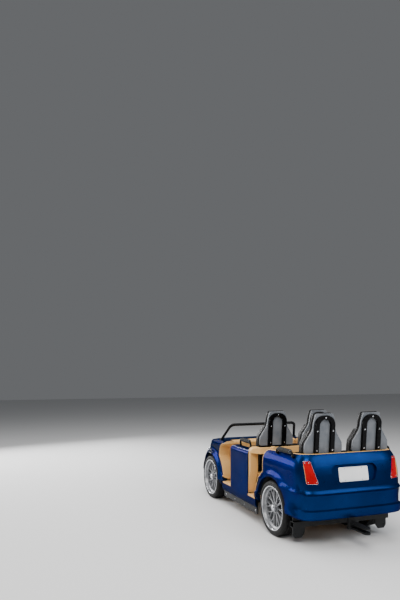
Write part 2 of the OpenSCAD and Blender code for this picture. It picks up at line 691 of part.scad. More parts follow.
// Grab handles: a bent rod on each panel top and rear quarter, with a foam grip
rod_r = 12;
grip_r = 25;
boss_r = 16;
rear_leg_splay = 19;
boss_h = 17;
HANDLES = [
    // x of the middle, y, height of the legs' ends, length, rise of the grip, outward tilt and turn of the feet
    [panel_rear_x + 180, body_half_w - 62, panel_top_z + boss_h + touch, 297, 63, 0, 0],
    [rear_axle_x - 232, body_half_w - 28.4, 900.5, 325, 40, 60.7, 0.4]
];

module handle_rods() color(BLACK) both_sides() for (h = HANDLES) translate([h[0], h[1], h[2]]) rotate([0, 0, h[6]]) {
    rotate([90, 0, 0]) for (m = [0, 1]) mirror([m, 0, 0]) half_arch(h[3] / 2, h[4], m * rear_leg_splay, 24, rod_r);
    for (m = [-1, 1]) translate([m * h[3] / 2, 0, 0]) {
        rotate([-h[5], 0, 0]) translate([0, 0, -boss_h]) cylinder(r = boss_r - rod_step, h = boss_h, $fn = 32);
        sphere(r = boss_r, $fn = 32);
    }
}

module handle_grips() color(BLACK) both_sides() for (h = HANDLES)
    translate([h[0], h[1], h[2] + h[4]]) rotate([0, 0, h[6]]) rotate([0, 90, 0]) difference() {
        cylinder(r = grip_r, h = h[3] - 96, center = true, $fn = 48);
        cylinder(r = rod_r + touch / 3, h = h[3], center = true, $fn = 32);
    }

// Lamps, grille, plate and side markers
module tail_lamps() color([0.8, 0.05, 0.08]) both_sides() lamp_solid(lamp_t - touch, -touch);

module headlamps() color([0.85, 0.88, 0.9]) both_sides() headlamp_place() {
    translate([0, 0, -40 + touch]) cylinder(r = headlamp_r, h = 62, $fn = 64);
    translate([0, 0, 22]) intersection() {
        translate([0, 0, -140]) sphere(r = 168, $fn = 64);
        cylinder(r = headlamp_r, h = 100, $fn = 64);
    }
}

module grille() color(BLACK) {
    slot_w = grille_w / 2 - 22;
    x = nose_x - 50;
    difference() {
        translate([x - 30, -grille_w / 2 + touch, grille_foot_z + touch])
            cube([30, grille_w - 2 * touch, grille_top_z - grille_foot_z - 2 * touch]);
        for (i = [0:3], j = [-1, 1]) translate([x - 60, j * grille_w / 4 - slot_w / 2, grille_foot_z + 12 + i * 24])
            cube([100, slot_w, 14]);
    }
}

plate_w = 346;
plate_h = 142;

module number_plate() color([0.95, 0.95, 0.95]) tail_frame()
    translate([recess_deep - 5 - touch, 0, -12]) rotate([90, 0, 90]) linear_extrude(height = 5)
        offset(r = 10, $fn = 24) square([plate_w - 20, plate_h - 20], center = true);

marker_x = front_axle_x - 56;
marker_z = axle_z + 366;

module marker_place() {
    translate([marker_x, body_half_w + 11.9, marker_z]) rotate([5.5, 0, 0]) rotate([-90, 0, 0]) children();
}

module side_markers() color(SILVER) both_sides() marker_place() linear_extrude(height = 16) difference() {
    offset(r = 14, $fn = 32) square([70, 24], center = true);
    offset(r = 8, $fn = 32) square([60, 14], center = true);
}

// Steel chassis: two longitudinal beams that rise over the axles, with cross beams
beam_h = 60;
beam_w = 60;
chassis_y = 250;
chassis_low_z = 232;
chassis_high_z = 372;
rise_rear_x = rear_axle_x + run_r + 20;
rise_front_x = toe_x + 20;
chassis_rear_x = tail_x + 90;
chassis_front_x = nose_x - 120;
bumper_beam_x = rear_axle_x - 395;
bumper_beam_z = 178;
bumper_beam_half_w = body_half_w - 40;
skirt_foot_z = 122;
skirt_t = 16;
skirt_y = body_half_w - wall - 14 - touch - skirt_t;
SKIRT_STAYS = [panel_rear_x - 170, panel_rear_x + 190, panel_front_x + 80];

module chassis_frame() color(STEEL) {
    both_sides() {
        translate([0, chassis_y, 0]) slab_xz([
            [chassis_rear_x, chassis_high_z], [rise_rear_x - beam_h, chassis_high_z], [rise_rear_x - beam_h, chassis_low_z],
            [rise_front_x + beam_h, chassis_low_z], [rise_front_x + beam_h, chassis_high_z],
            [chassis_front_x, chassis_high_z], [chassis_front_x, chassis_high_z + beam_h],
            [rise_front_x, chassis_high_z + beam_h], [rise_front_x, floor_z - touch], [rise_rear_x, floor_z - touch],
            [rise_rear_x, chassis_high_z + beam_h], [chassis_rear_x, chassis_high_z + beam_h]], beam_w);
    }
    for (x = [chassis_rear_x, chassis_front_x - beam_w])
        translate([x, -chassis_y - beam_w / 2, chassis_high_z]) cube([beam_w, 2 * chassis_y + beam_w, beam_h]);
    // Rear crossbeam with its hangers
    difference() {
        translate([bumper_beam_x, -bumper_beam_half_w, bumper_beam_z]) cube([70, 2 * bumper_beam_half_w, 60]);
        translate([bumper_beam_x + 6, -big / 2, bumper_beam_z + 6]) cube([58, big, 48]);
    }
    hanger_foot_z = bumper_beam_z + 59;
    plate_in = body_half_w - 190;
    plate_out = body_half_w - 48;
    both_sides() {
        // Hanger plate above the crossbeam and drop plate below its end
        translate([bumper_beam_x + 29, 0, 0]) rotate([90, 0, 90]) linear_extrude(height = 12) {
            polygon([[plate_in, hanger_foot_z], [plate_out, hanger_foot_z], [plate_out, 288], [plate_in, 330],
                [300, 420], [222, 420], [222, 374], [262, 374], [400, 290], [plate_in, 262]]);
            polygon([[plate_in, bumper_beam_z + 1], [plate_in + 6, 118], [plate_in + 40, 66], [plate_out - 26, 66],
                [plate_out, 100], [plate_out, bumper_beam_z + 1]]);
        }
        // Side skirt behind the rocker, on stays from the main beam
        translate([rocker_rear_x + 10, skirt_y, skirt_foot_z])
            cube([rocker_front_x - rocker_rear_x - 20, skirt_t, floor_z - 8 - skirt_foot_z]);
        for (x = SKIRT_STAYS) translate([x, chassis_y + beam_w / 2 - 1, chassis_low_z + 8])
            cube([50, skirt_y - chassis_y - beam_w / 2 + 2, 40]);
    }
}

// Wheel wells: a half round over each show tyre
well_r = arch_r + 10;
well_t = 6;
well_foot_z = axle_z + 58;
WELLS = [
    // x of the axle, y of the inner edge, y of the outer edge
    [front_axle_x, tongue_half_w, body_half_w - 84.2],
    [rear_axle_x, bench_half_w + touch, body_half_w - 42]
];

module wheel_wells() color(BLACK) both_sides() for (w = WELLS) difference() {
    across_from(w[0], w[1], axle_z, well_r + well_t, w[2] - w[1], 96);
    across_from(w[0], w[1] - 1, axle_z, well_r, w[2], 96);
    translate([w[0] - 500, 0, -500]) cube([1000, 700, 500 + well_foot_z]);
}

// Couplers: an eye at the front and a fork at the rear, each with an upright pin hole, below the bumpers
eye_r = 35;
coupler_z = 205;
pin_r = 15;
eye_t = 30;
fork_t = 16;
fork_gap = 1;
drop_t = 20;

module couplers() color(STEEL) {
    difference() {
        union() {
            translate([front_pin_x, 0, coupler_z - eye_t / 2]) cylinder(r = eye_r, h = eye_t, $fn = 64);
            translate([chassis_front_x, -26, coupler_z - eye_t / 2]) cube([front_pin_x - chassis_front_x, 52, eye_t]);
            translate([chassis_front_x, -60, coupler_z - 30])
                cube([drop_t, 120, grille_foot_z - 8 - coupler_z + 30]);
        }
        translate([front_pin_x, 0, coupler_z - 50]) cylinder(r = pin_r, h = 100, $fn = 64);
    }
    difference() {
        union() {
            for (z = [-eye_t / 2 - fork_gap - fork_t, eye_t / 2 + fork_gap]) translate([rear_pin_x, 0, coupler_z + z]) {
                cylinder(r = eye_r, h = fork_t, $fn = 64);
                translate([0, -eye_r, 0]) cube([chassis_rear_x - rear_pin_x - drop_t / 2, 2 * eye_r, fork_t]);
            }
            translate([chassis_rear_x - drop_t, -60, coupler_z - 40])
                cube([drop_t, 120, chassis_high_z + beam_h - coupler_z + 40]);
        }
        translate([rear_pin_x, 0, coupler_z - 80]) cylinder(r = pin_r, h = 160, $fn = 64);
    }
}

// Show wheels: a stub axle on each carrier, a rim with split spokes and a low tyre
stub_r = 20;
hub_r = 46;
rim_face_y = tyre_face_y - 4;

// Cylinder along Y from y to y + h at x, z
module across_from(x, y, z, r, h, fn = 64) {
    translate([x, y + h, z]) rotate([90, 0, 0]) cylinder(r = r, h = h, $fn = fn);
}

spoke_w = 15;
spoke_arm_w = 10;
spoke_t = 22;
spoke_z = -42;
fork_at_r = 100;
window_r = rim_r - 40;

// Space between the spokes: each stem forks in two, and the arms meet the rim at equal steps
module spoke_windows() {
    arm_turn = atan2(window_r * sin(90 / spoke_pairs), window_r * cos(90 / spoke_pairs) - fork_at_r);
    offset(r = 3, $fn = 12) offset(delta = -3) difference() {
        circle(r = window_r, $fn = 80);
        circle(r = hub_r + 8, $fn = 40);
        for (i = [0:spoke_pairs - 1]) rotate(i * 360 / spoke_pairs) {
            translate([0, -spoke_w / 2]) square([fork_at_r + 6, spoke_w]);
            for (s = [-1, 1]) translate([fork_at_r, 0]) rotate(s * arm_turn)
                translate([-4, -spoke_arm_w / 2]) square([window_r, spoke_arm_w]);
        }
    }
}

module rim() color(SILVER) difference() {
    union() {
        // Barrel with a stepped outer lip
        rotate_extrude($fn = 96) polygon([
            [rim_r - 30, -tyre_w + 14], [rim_r - 4, -tyre_w + 14], [rim_r - 4, -tyre_w + 22], [rim_r - 26, -tyre_w + 30],
            [rim_r - 26, -34], [rim_r - 4, -26], [rim_r, -4], [rim_r - 6, 0], [rim_r - 12, -3],
            [rim_r - 20, -30], [rim_r - 34, -38], [rim_r - 34, -tyre_w + 30]]);
        // Spoke disc and hub
        difference() {
            translate([0, 0, spoke_z - spoke_t]) cylinder(r = rim_r - 30, h = spoke_t, $fn = 96);
            translate([0, 0, spoke_z - spoke_t - 10]) linear_extrude(height = spoke_t + 20) spoke_windows();
        }
        translate([0, 0, -72]) cylinder(r = hub_r, h = 54, $fn = 64);
    }
    translate([0, 0, -200]) cylinder(r = stub_r + fit, h = 200 - 34, $fn = 64);
}

module wheel_place(x, side) {
    translate([x, side * rim_face_y, axle_z]) rotate([-side * 90, 0, 0]) children();
}

module tyre() color(BLACK) rotate_extrude($fn = 96) polygon(concat(
    [[rim_r - 3.7, -tyre_w + 22.5], [rim_r + 4, -tyre_w + 8]],
    arc(tyre_r - 14, -tyre_w + 14, 14, -90, 0, 5),
    arc(tyre_r - 14, -10, 14, 0, 90, 5),
    [[rim_r + 4, 4], [rim_r + 0.3, -3.7]]));

// Wheel carriers: at each corner an outrigger with the stub axle, and a plate for the rail wheels
bracket_y = tongue_half_w - 16;
bracket_t = 14;
outrigger_z = chassis_high_z;
carrier_y = chassis_y + beam_w / 2 + touch;
carrier_t = 20;
carrier_top_z = chassis_high_z + 44;
axle_r = 20;
run_w = 56;
stop_r = 38;
stop_z = 54;
stop_pin_r = 12;
guide_r = 42;
guide_z = 130;
guide_dx = 190;
guide_y = rail_y - 40 - guide_r;
guide_w = 40;

module wheel_carriers() color(STEEL) for (x = [front_axle_x, rear_axle_x]) both_sides() {
    difference() {
        union() {
            rotate([90, 0, 0]) translate([0, 0, -carrier_y - carrier_t]) linear_extrude(height = carrier_t)
                polygon([[x - 60, carrier_top_z], [x - 60, 200], [x - 34, 30], [x + 34, 30], [x + 60, 150],
                    [x + guide_dx + 34, 160], [x + guide_dx + 34, 196], [x + 90, 230], [x + 60, carrier_top_z]]);
            translate([x + guide_dx - 34, guide_y - 30, 160]) cube([68, carrier_y - guide_y + 34, 14]);
            translate([x - 30, carrier_y + carrier_t - 1, outrigger_z])
                cube([60, bracket_y - carrier_y - carrier_t + 2, 40]);
            translate([x - 45, bracket_y, axle_z - 45]) cube([90, bracket_t, outrigger_z + 85 - axle_z]);
        }
        across_from(x, 0, run_z, axle_r + fit, carrier_y + carrier_t + 5);
    }
    across_from(x, bracket_y + bracket_t - 1, axle_z, stub_r, rim_face_y - 39 - bracket_y - bracket_t);
    across_from(x, carrier_y + carrier_t - 1, stop_z, stop_pin_r, run_w + 29);
    translate([x + guide_dx, guide_y, guide_z - guide_w / 2 - 8])
        cylinder(r = stop_pin_r, h = 162 - guide_z + guide_w / 2 + 8, $fn = 48);
}

module rail_axle(x) color(SILVER) {
    across(x, run_z, axle_r, 2 * (rail_y + run_w / 2 + 8), 64);
    both_sides() across_from(x, rail_y - run_w / 2, run_z, run_r, run_w);
}

module up_stop(x, side) color(BLACK) scale([1, side, 1]) difference() {
    across_from(x, rail_y - run_w / 2 + 2, stop_z, stop_r, run_w - 4);
    across_from(x, 0, stop_z, stop_pin_r + fit, 600);
}

module guide(x, side) color(BLACK) scale([1, side, 1]) difference() {
    translate([x + guide_dx, guide_y, guide_z - guide_w / 2]) cylinder(r = guide_r, h = guide_w, $fn = 64);
    translate([x + guide_dx, guide_y, 0]) cylinder(r = stop_pin_r + fit, h = 400, $fn = 64);
}

// Lap bars: a cranked arm hinged at the floor and a padded crossbar over the lap
lap_dx = 590;
lap_z = 372;
lap_pin_r = 9;
lap_hub_r = 20;
lap_w = 44;
lap_arm_r = 16;
lap_knee_x = -40;
lap_knee_z = 308;
lap_reach_x = -265;
lap_reach_z = 430;
lap_pad_r = 38;
lap_pad_w = 360;
lug_t = 12;
lug_gap = 30;

module lap_place(row, side) {
    translate([seat_x + row * row_pitch + lap_dx, side * seat_y, lap_z]) children();
}

module lap_bar_brackets() color(STEEL) for (row = [0, 1], side = [-1, 1]) lap_place(row, side) {
    translate([-32, -48, sill_z - lap_z + touch]) cube([64, 96, 8]);
    for (y = [-lug_gap - lug_t, lug_gap]) translate([-26, y, sill_z - lap_z + 7])
        cube([52, lug_t, lap_z - sill_z + 19]);
    rotate([90, 0, 0]) cylinder(r = lap_pin_r, h = 2 * (lug_gap + lug_t), center = true, $fn = 48);
}

// Straight rod in the plane of X and Z from a to b
module rod_xz(a, b, r) {
    translate([a[0], 0, a[1]]) rotate([0, atan2(b[0] - a[0], b[1] - a[1]), 0]) cylinder(r = r, h = norm(b - a), $fn = 48);
}

module lap_bar(row, side) color(BLACK) {
    raise = (1 - row) * row_drop;
    knee = [lap_knee_x, lap_knee_z + raise];
    reach = [lap_reach_x, lap_reach_z + raise];
    lap_place(row, side) difference() {
        union() {
            rotate([90, 0, 0]) cylinder(r = lap_hub_r, h = lap_w, center = true, $fn = 64);
            rod_xz([0, 0], knee, lap_arm_r - rod_step);
            translate([knee[0], 0, knee[1]]) sphere(r = lap_arm_r, $fn = 48);
            rod_xz(knee, reach, lap_arm_r - rod_step);
            translate([reach[0], 0, reach[1]]) rotate([90, 0, 0])
                cylinder(r = lap_pad_r, h = lap_pad_w, center = true, $fn = 64);
        }
        rotate([90, 0, 0]) cylinder(r = lap_pin_r + fit, h = 200, center = true, $fn = 48);
    }
}

front_body();
rear_body();
side_mouldings();
floor_tub();
dash_cowl();
mid_bulkhead();
back_panel();
rear_tub();
windscreen_hoop();
seat_shells();
seat_pads();
seat_back_bars();
handle_rods();
handle_grips();
tail_lamps();
headlamps();
grille();
number_plate();
side_markers();
wheel_wells();
chassis_frame();
couplers();
wheel_carriers();
lap_bar_brackets();
lap_bar(1, 1);  // lap_bar_front_left
lap_bar(1, -1);  // lap_bar_front_right
lap_bar(0, 1);  // lap_bar_rear_left
lap_bar(0, -1);  // lap_bar_rear_right
wheel_place(front_axle_x, 1) rim();  // rim_front_left
wheel_place(front_axle_x, -1) rim();  // rim_front_right
wheel_place(rear_axle_x, 1) rim();  // rim_rear_left
wheel_place(rear_axle_x, -1) rim();  // rim_rear_right
wheel_place(front_axle_x, 1) tyre();  // tyre_front_left
wheel_place(front_axle_x, -1) tyre();  // tyre_front_right
wheel_place(rear_axle_x, 1) tyre();  // tyre_rear_left
wheel_place(rear_axle_x, -1) tyre();  // tyre_rear_right
rail_axle(front_axle_x);  // rail_axle_front
rail_axle(rear_axle_x);  // rail_axle_rear
up_stop(front_axle_x, 1);  // up_stop_front_left
up_stop(front_axle_x, -1);  // up_stop_front_right
up_stop(rear_axle_x, 1);  // up_stop_rear_left
up_stop(rear_axle_x, -1);  // up_stop_rear_right
guide(front_axle_x, 1);  // guide_front_left
guide(front_axle_x, -1);  // guide_front_right
guide(rear_axle_x, 1);  // guide_rear_left
guide(rear_axle_x, -1);  // guide_rear_right
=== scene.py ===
# %% [markdown]
# # A roller coaster car, dressed in Blender
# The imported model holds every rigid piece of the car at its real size, in metres.
# This lesson gives each piece its finish, and adds the soft, small and moulded things on it:
# foam pads, tyres with tread, lamp lenses, bolts, beads and seams.
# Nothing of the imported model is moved, so a new piece always goes where the model says.

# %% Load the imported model
import json
import math

import bpy
from mathutils import Matrix, Vector

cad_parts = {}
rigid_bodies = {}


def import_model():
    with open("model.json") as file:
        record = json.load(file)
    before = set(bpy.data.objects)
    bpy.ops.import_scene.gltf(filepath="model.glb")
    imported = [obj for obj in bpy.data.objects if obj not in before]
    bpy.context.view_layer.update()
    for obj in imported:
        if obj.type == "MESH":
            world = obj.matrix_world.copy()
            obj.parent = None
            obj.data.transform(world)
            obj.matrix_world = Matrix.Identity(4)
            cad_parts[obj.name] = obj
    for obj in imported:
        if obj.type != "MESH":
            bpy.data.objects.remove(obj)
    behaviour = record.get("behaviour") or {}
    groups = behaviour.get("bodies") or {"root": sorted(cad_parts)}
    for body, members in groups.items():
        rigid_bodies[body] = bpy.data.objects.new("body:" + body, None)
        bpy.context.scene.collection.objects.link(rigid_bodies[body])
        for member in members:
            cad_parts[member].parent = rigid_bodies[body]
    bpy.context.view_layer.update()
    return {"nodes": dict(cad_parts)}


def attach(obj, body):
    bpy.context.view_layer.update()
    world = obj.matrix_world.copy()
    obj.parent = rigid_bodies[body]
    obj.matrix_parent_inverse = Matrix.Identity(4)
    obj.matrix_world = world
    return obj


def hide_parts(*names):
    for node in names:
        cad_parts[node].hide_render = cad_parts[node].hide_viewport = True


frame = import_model()
NODES = frame["nodes"]

# %% [markdown]
# ## The camera
# A photograph with upright edges that stay upright comes from a level camera with its view shifted.
# So the camera here is level, and its small shift puts the horizon below the middle of the picture.

# %% Camera
PHOTO_W, PHOTO_H = 400, 600
FOCUS_PX = 524.1
HORIZON_PX = 373.1
EYE = Vector((-5.877, 3.251, 1.736))
HEADING = math.radians(19.9)

cam = bpy.data.objects.new("camera", bpy.data.cameras.new("camera"))
bpy.context.scene.collection.objects.link(cam)
cam.location = EYE
cam.rotation_euler = (math.radians(90), 0, -math.radians(90) - HEADING)
cam.data.sensor_width = 36
cam.data.lens = FOCUS_PX / PHOTO_H * cam.data.sensor_width
cam.data.shift_y = (HORIZON_PX - PHOTO_H / 2) / PHOTO_H
bpy.context.scene.camera = cam
print("lens", round(cam.data.lens, 2), "shift", round(cam.data.shift_y, 4))

# %% [markdown]
# ## Floor and light
# The studio has a plain pale floor and big soft lamps. A large lamp gives soft edges to shadows,
# and long soft streaks in a lacquered body, which is what shows its curves. Two lamps are placed by
# reflection: a small glint, and a wide low window whose light runs along the shoulder and the flare.

# %% Floor and lights
def flat_material(name, colour, roughness):
    """A plain material for the stage alone."""
    m = bpy.data.materials.new(name)
    m.use_nodes = True
    shader = m.node_tree.nodes["Principled BSDF"]
    shader.inputs["Base Color"].default_value = (*colour, 1)
    shader.inputs["Roughness"].default_value = roughness
    return m


bpy.ops.mesh.primitive_plane_add(size=60, location=(0, 0, 0))
floor = bpy.context.object
floor.name = "floor"
floor.data.materials.append(flat_material("floor_pale", (0.7, 0.7, 0.7), 0.8))


def soft_light(name, place, aim, size, watts, tint=(1, 1, 1)):
    """A square area lamp at a place, turned to face a point."""
    lamp = bpy.data.objects.new(name, bpy.data.lights.new(name, "AREA"))
    bpy.context.scene.collection.objects.link(lamp)
    lamp.location = place
    lamp.rotation_euler = (Vector(aim) - Vector(place)).to_track_quat("-Z", "Y").to_euler()
    lamp.data.size = size
    lamp.data.energy = watts
    lamp.data.color = tint
    return lamp


CAR_MIDDLE = (0, 0, 0.5)
soft_light("key", (-6.0, 3.0, 6.0), CAR_MIDDLE, 3.5, 430, (1, 0.97, 0.93))
soft_light("fill", (-7.0, -3.6, 5.2), (-1.4, 0, 0.8), 5.0, 420, (0.93, 0.96, 1))
soft_light("side", (3.2, 6.8, 6.6), CAR_MIDDLE, 4.5, 330)
soft_light("front", (6.5, 2.0, 3.0), (0.5, 0, 0.5), 4.0, 220)
soft_light("sky", (0.0, 0.5, 8.0), CAR_MIDDLE, 8.0, 560)
soft_light("glint", (5.4, 1.4, 3.4), (-0.2, 0.6, 0.8), 0.6, 70)
window = soft_light("window", (5.8, 5.2, 1.9), (-0.9, 0.6, 0.7), 3.8, 230)
window.data.shape = "RECTANGLE"
window.data.size_y = 1.5
world = bpy.data.worlds.new("studio")
world.use_nodes = True
sky = world.node_tree.nodes["Background"]
sky.inputs["Color"].default_value = (0.86, 0.89, 0.93, 1)
sky.inputs["Strength"].default_value = 0.16
bpy.context.scene.world = world

# %% [markdown]
# ## How a finish is made
# A real surface is never one flat colour. Each finish below mixes two close colours by a soft
# cloud pattern, lets the roughness wander a little, and ends in a fine bump for the grain.
# The patterns read the object's own coordinates, so they stay on the piece when it moves.

# %% Helpers for finishes
def tone(r, g, b):
    """A colour written as screen values, 0 to 255, as the linear values that the shader takes."""
    def linear(v):
        v = v / 255
        return v / 12.92 if v <= 0.04045 else ((v + 0.055) / 1.055) ** 2.4

    return (linear(r), linear(g), linear(b), 1)


def add(tree, kind, **inputs):
    """A shader node with its inputs set to numbers, or linked where a socket is given."""
    made = tree.nodes.new("ShaderNode" + kind)
    for key, value in inputs.items():
        socket = made.inputs[key.replace("_", " ")]
        if isinstance(value, bpy.types.NodeSocket):
            tree.links.new(value, socket)
        else:
            socket.default_value = value
    return made


def start_material(name):
    """A new material with one shader, and the object coordinates that its patterns read."""
    m = bpy.data.materials.new(name)
    m.use_nodes = True
    tree = m.node_tree
    place = add(tree, "TexCoord").outputs["Object"]
    return m, tree, tree.nodes["Principled BSDF"], place


def cloud(tree, place, scale, detail=4, stretch=(1, 1, 1)):
    """Soft noise, as a value. A stretch above 1 packs it closer along that axis."""
    if stretch != (1, 1, 1):
        place = add(tree, "Mapping", Vector=place, Scale=stretch).outputs["Vector"]
    return add(tree, "TexNoise", Vector=place, Scale=scale, Detail=detail).outputs["Fac"]


def ramp(tree, value, *stops):
    """Colours by a value: stops are (where, colour)."""
    made = add(tree, "ValToRGB", Fac=value)
    marks = made.color_ramp.elements
    while len(marks) < len(stops):
        marks.new(0.5)
    for mark, (where, colour) in zip(marks, stops):
        mark.position = where
        mark.color = colour
    return made.outputs["Color"]


def span(tree, value, low, high, start=0.3, end=0.7):
    """A value stretched to run from low to high."""
    made = add(tree, "MapRange", Value=value, From_Min=start, From_Max=end, To_Min=low, To_Max=high)
    return made.outputs["Result"]


def bump(tree, height, depth, below=None):
    """A normal from a height pattern, depth metres deep, on top of another normal."""
    made = add(tree, "Bump", Height=height, Distance=depth, Strength=1.0)
    if below is not None:
        tree.links.new(below, made.inputs["Normal"])
    return made.outputs["Normal"]


def round_edge(tree, radius):
    """A normal that looks as if every edge were rounded by a radius."""
    made = add(tree, "Bevel", Radius=radius)
    made.samples = 4
    return made.outputs["Normal"]


def set_sockets(shader, **sockets):
    """Sets the shader's own sockets to plain values."""
    for key, value in sockets.items():
        shader.inputs[key.replace("_", " ")].default_value = value


def finish(name, dark, light, patch=6, rough=(0.35, 0.45), grain=500, grain_depth=0.00005, edge=0.0,
           **sockets):
    """The common recipe: two colours in clouds, wandering roughness and a fine grain."""
    m, tree, shader, place = start_material(name)
    colour = ramp(tree, cloud(tree, place, patch, 6), (0.3, dark), (0.7, light))
    tree.links.new(colour, shader.inputs["Base Color"])
    tree.links.new(span(tree, cloud(tree, place, patch * 3), *rough), shader.inputs["Roughness"])
    below = round_edge(tree, edge) if edge else None
    tree.links.new(bump(tree, cloud(tree, place, grain, 2), grain_depth, below), shader.inputs["Normal"])
    set_sockets(shader, **sockets)
    return m


# %% [markdown]
# ## The body's lacquer
# The body is a moulding with a metallic blue base coat under clear lacquer. Tiny flakes lie in the
# base, so each catches the light at its own tilt. A fine cell pattern tilts the normal for them,
# while the clear coat on top has only a faint ripple.

# %% Blue lacquer
def blue_lacquer():
    """Metallic base coat with flakes under a thin clear coat."""
    m, tree, shader, place = start_material("blue_lacquer")
    base = ramp(tree, cloud(tree, place, 2.5, 5), (0.3, tone(0, 30, 74)), (0.7, tone(1, 40, 92)))
    tree.links.new(base, shader.inputs["Base Color"])
    flakes = add(tree, "TexVoronoi", Vector=place, Scale=1400.0).outputs["Color"]
    tree.links.new(bump(tree, flakes, 0.000012), shader.inputs["Normal"])
    coat = bump(tree, cloud(tree, place, 90, 2), 0.00004)
    tree.links.new(coat, shader.inputs["Coat Normal"])
    tree.links.new(span(tree, cloud(tree, place, 14), 0.27, 0.34), shader.inputs["Roughness"])
    set_sockets(shader, Metallic=0.78, Specular_IOR_Level=0.0, Specular_Tint=tone(10, 76, 128),
                Coat_Weight=0.1, Coat_IOR=1.35, Coat_Roughness=0.06)
    return m


FINISH = {"body_blue": blue_lacquer()}
print("body finish:", FINISH["body_blue"].name)

# %% [markdown]
# ## Moulded, painted and metal finishes
# The liner is tan gel coat with a leathery grain, the seat shells are grey moulded plastic, and the
# tubes and chassis are painted steel; the chassis colour is also darkened as painted shade under the body.
# One recipe makes them all, with its own colours and grain.

# %% Plain finishes
FINISH["liner_tan"] = finish("tan_gel_coat", tone(208, 161, 98), tone(225, 178, 113), 3, (0.42, 0.55),
                             420, 0.00018, 0.003, Specular_IOR_Level=0.2)
FINISH["shell_grey"] = finish("grey_moulding", tone(88, 93, 99), tone(110, 113, 118), 9, (0.42, 0.5),
                              900, 0.00006, 0.002, Specular_IOR_Level=0.35)
FINISH["tube_black"] = finish("black_powder_coat", tone(2, 2, 3), tone(6, 6, 7), 9, (0.26, 0.36),
                              700, 0.00008, 0.0015, Specular_IOR_Level=0.12)
FINISH["grille_black"] = finish("black_plastic", tone(16, 16, 18), tone(24, 24, 27), 9, (0.4, 0.5),
                                600, 0.00006, 0.0015)
FINISH["well_black"] = finish("black_liner", tone(20, 20, 21), tone(34, 33, 32), 5, (0.7, 0.85),
                              220, 0.0004)
# The chassis colour is partly its own dark paint and partly painted shade for the shadow under the body.
FINISH["chassis_grey"] = finish("chassis_paint_and_painted_shade", tone(7, 9, 10), tone(18, 19, 21), 5, (0.45, 0.65),
                                260, 0.00015, 0.002, Specular_IOR_Level=0.3)
FINISH["trim_chrome"] = finish("bright_trim", tone(196, 198, 202), tone(214, 216, 220), 12, (0.1, 0.18),
                               400, 0.00001, Metallic=1.0)
FINISH["wheel_steel"] = finish("turned_steel", tone(96, 98, 102), tone(140, 142, 146), 12, (0.28, 0.42),
                               500, 0.00004, Metallic=0.9)
FINISH["rim_silver"] = finish("silver_wheel_lacquer", tone(116, 118, 122), tone(150, 151, 154), 18,
                              (0.32, 0.42), 900, 0.00002, 0.0012, Metallic=0.55, Coat_Weight=0.3,
                              Coat_Roughness=0.2)
FINISH["tyre_black"] = finish("tyre_rubber", tone(6, 6, 7), tone(15, 15, 15), 14, (0.6, 0.76),
                              350, 0.00015, Specular_IOR_Level=0.3)
FINISH["wheel_polymer"] = finish("cast_wheel_polymer", tone(30, 30, 32), tone(52, 50, 48), 14, (0.45, 0.6),
                                 300, 0.0001, 0.0015)
FINISH["pad_black"] = finish("black_vinyl", tone(4, 4, 5), tone(11, 11, 12), 8, (0.4, 0.55), 650, 0.0002,
                             Specular_IOR_Level=0.22)
FINISH["grip_foam"] = finish("black_foam", tone(12, 12, 12), tone(22, 22, 23), 16, (0.7, 0.85), 900, 0.0003)
FINISH["lamp_red"] = finish("red_lens", tone(150, 0, 10), tone(178, 0, 18), 6, (0.24, 0.34), 300, 0.00002,
                            Coat_Weight=0.15, Coat_Roughness=0.08, Specular_IOR_Level=0.1)
FINISH["lamp_clear"] = finish("clear_lens", tone(232, 236, 240), tone(244, 246, 248), 6, (0.02, 0.06),
                              300, 0.00002, Transmission_Weight=1.0, IOR=1.45)
FINISH["plate_white"] = finish("white_plate", tone(226, 227, 228), tone(238, 238, 238), 5, (0.3, 0.4),
                               500, 0.00003, 0.001)
print("finishes:", len(FINISH))

# %% [markdown]
# ## Smooth shading for the imported pieces
# The imported meshes come as loose flat triangles. A small set of modifiers joins their corners,
# and shades a face smooth unless it meets its neighbour at a sharp angle.
# The meshes themselves stay as they are.

# %% Shade the imported pieces
def smooth_by_angle(angle):
    """A node group that shades smooth, but keeps edges sharper than the angle."""
    group = bpy.data.node_groups.new("shade_by_angle", "GeometryNodeTree")
    group.interface.new_socket("Mesh", in_out="INPUT", socket_type="NodeSocketGeometry")
    group.interface.new_socket("Mesh", in_out="OUTPUT", socket_type="NodeSocketGeometry")
    start = group.nodes.new("NodeGroupInput")
    end = group.nodes.new("NodeGroupOutput")
    faces = group.nodes.new("GeometryNodeSetShadeSmooth")
    edges = group.nodes.new("GeometryNodeSetShadeSmooth")
    edges.domain = "EDGE"
    measure = group.nodes.new("GeometryNodeInputMeshEdgeAngle")
    test = group.nodes.new("FunctionNodeCompare")
    test.operation = "LESS_EQUAL"
    test.inputs[1].default_value = angle
    link = group.links.new
    link(start.outputs[0], faces.inputs["Geometry"])
    link(faces.outputs[0], edges.inputs["Geometry"])
    link(measure.outputs["Unsigned Angle"], test.inputs[0])
    link(test.outputs[0], edges.inputs["Shade Smooth"])
    link(edges.outputs[0], end.inputs[0])
    return group


SHADE_GROUP = smooth_by_angle(math.radians(32))


def shade(piece):
    """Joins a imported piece's loose corners and shades it by angle."""
    weld = piece.modifiers.new("weld", "WELD")
    weld.merge_threshold = 0.00002
    by_angle = piece.modifiers.new("shade", "NODES")
    by_angle.node_group = SHADE_GROUP


print("shading group:", SHADE_GROUP.name)

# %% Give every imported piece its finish
def slot_of(name):
    """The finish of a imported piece, by its name."""
    for part, slot in SLOT_BY_PART:
        if part in name:
            return slot
    raise KeyError(name)


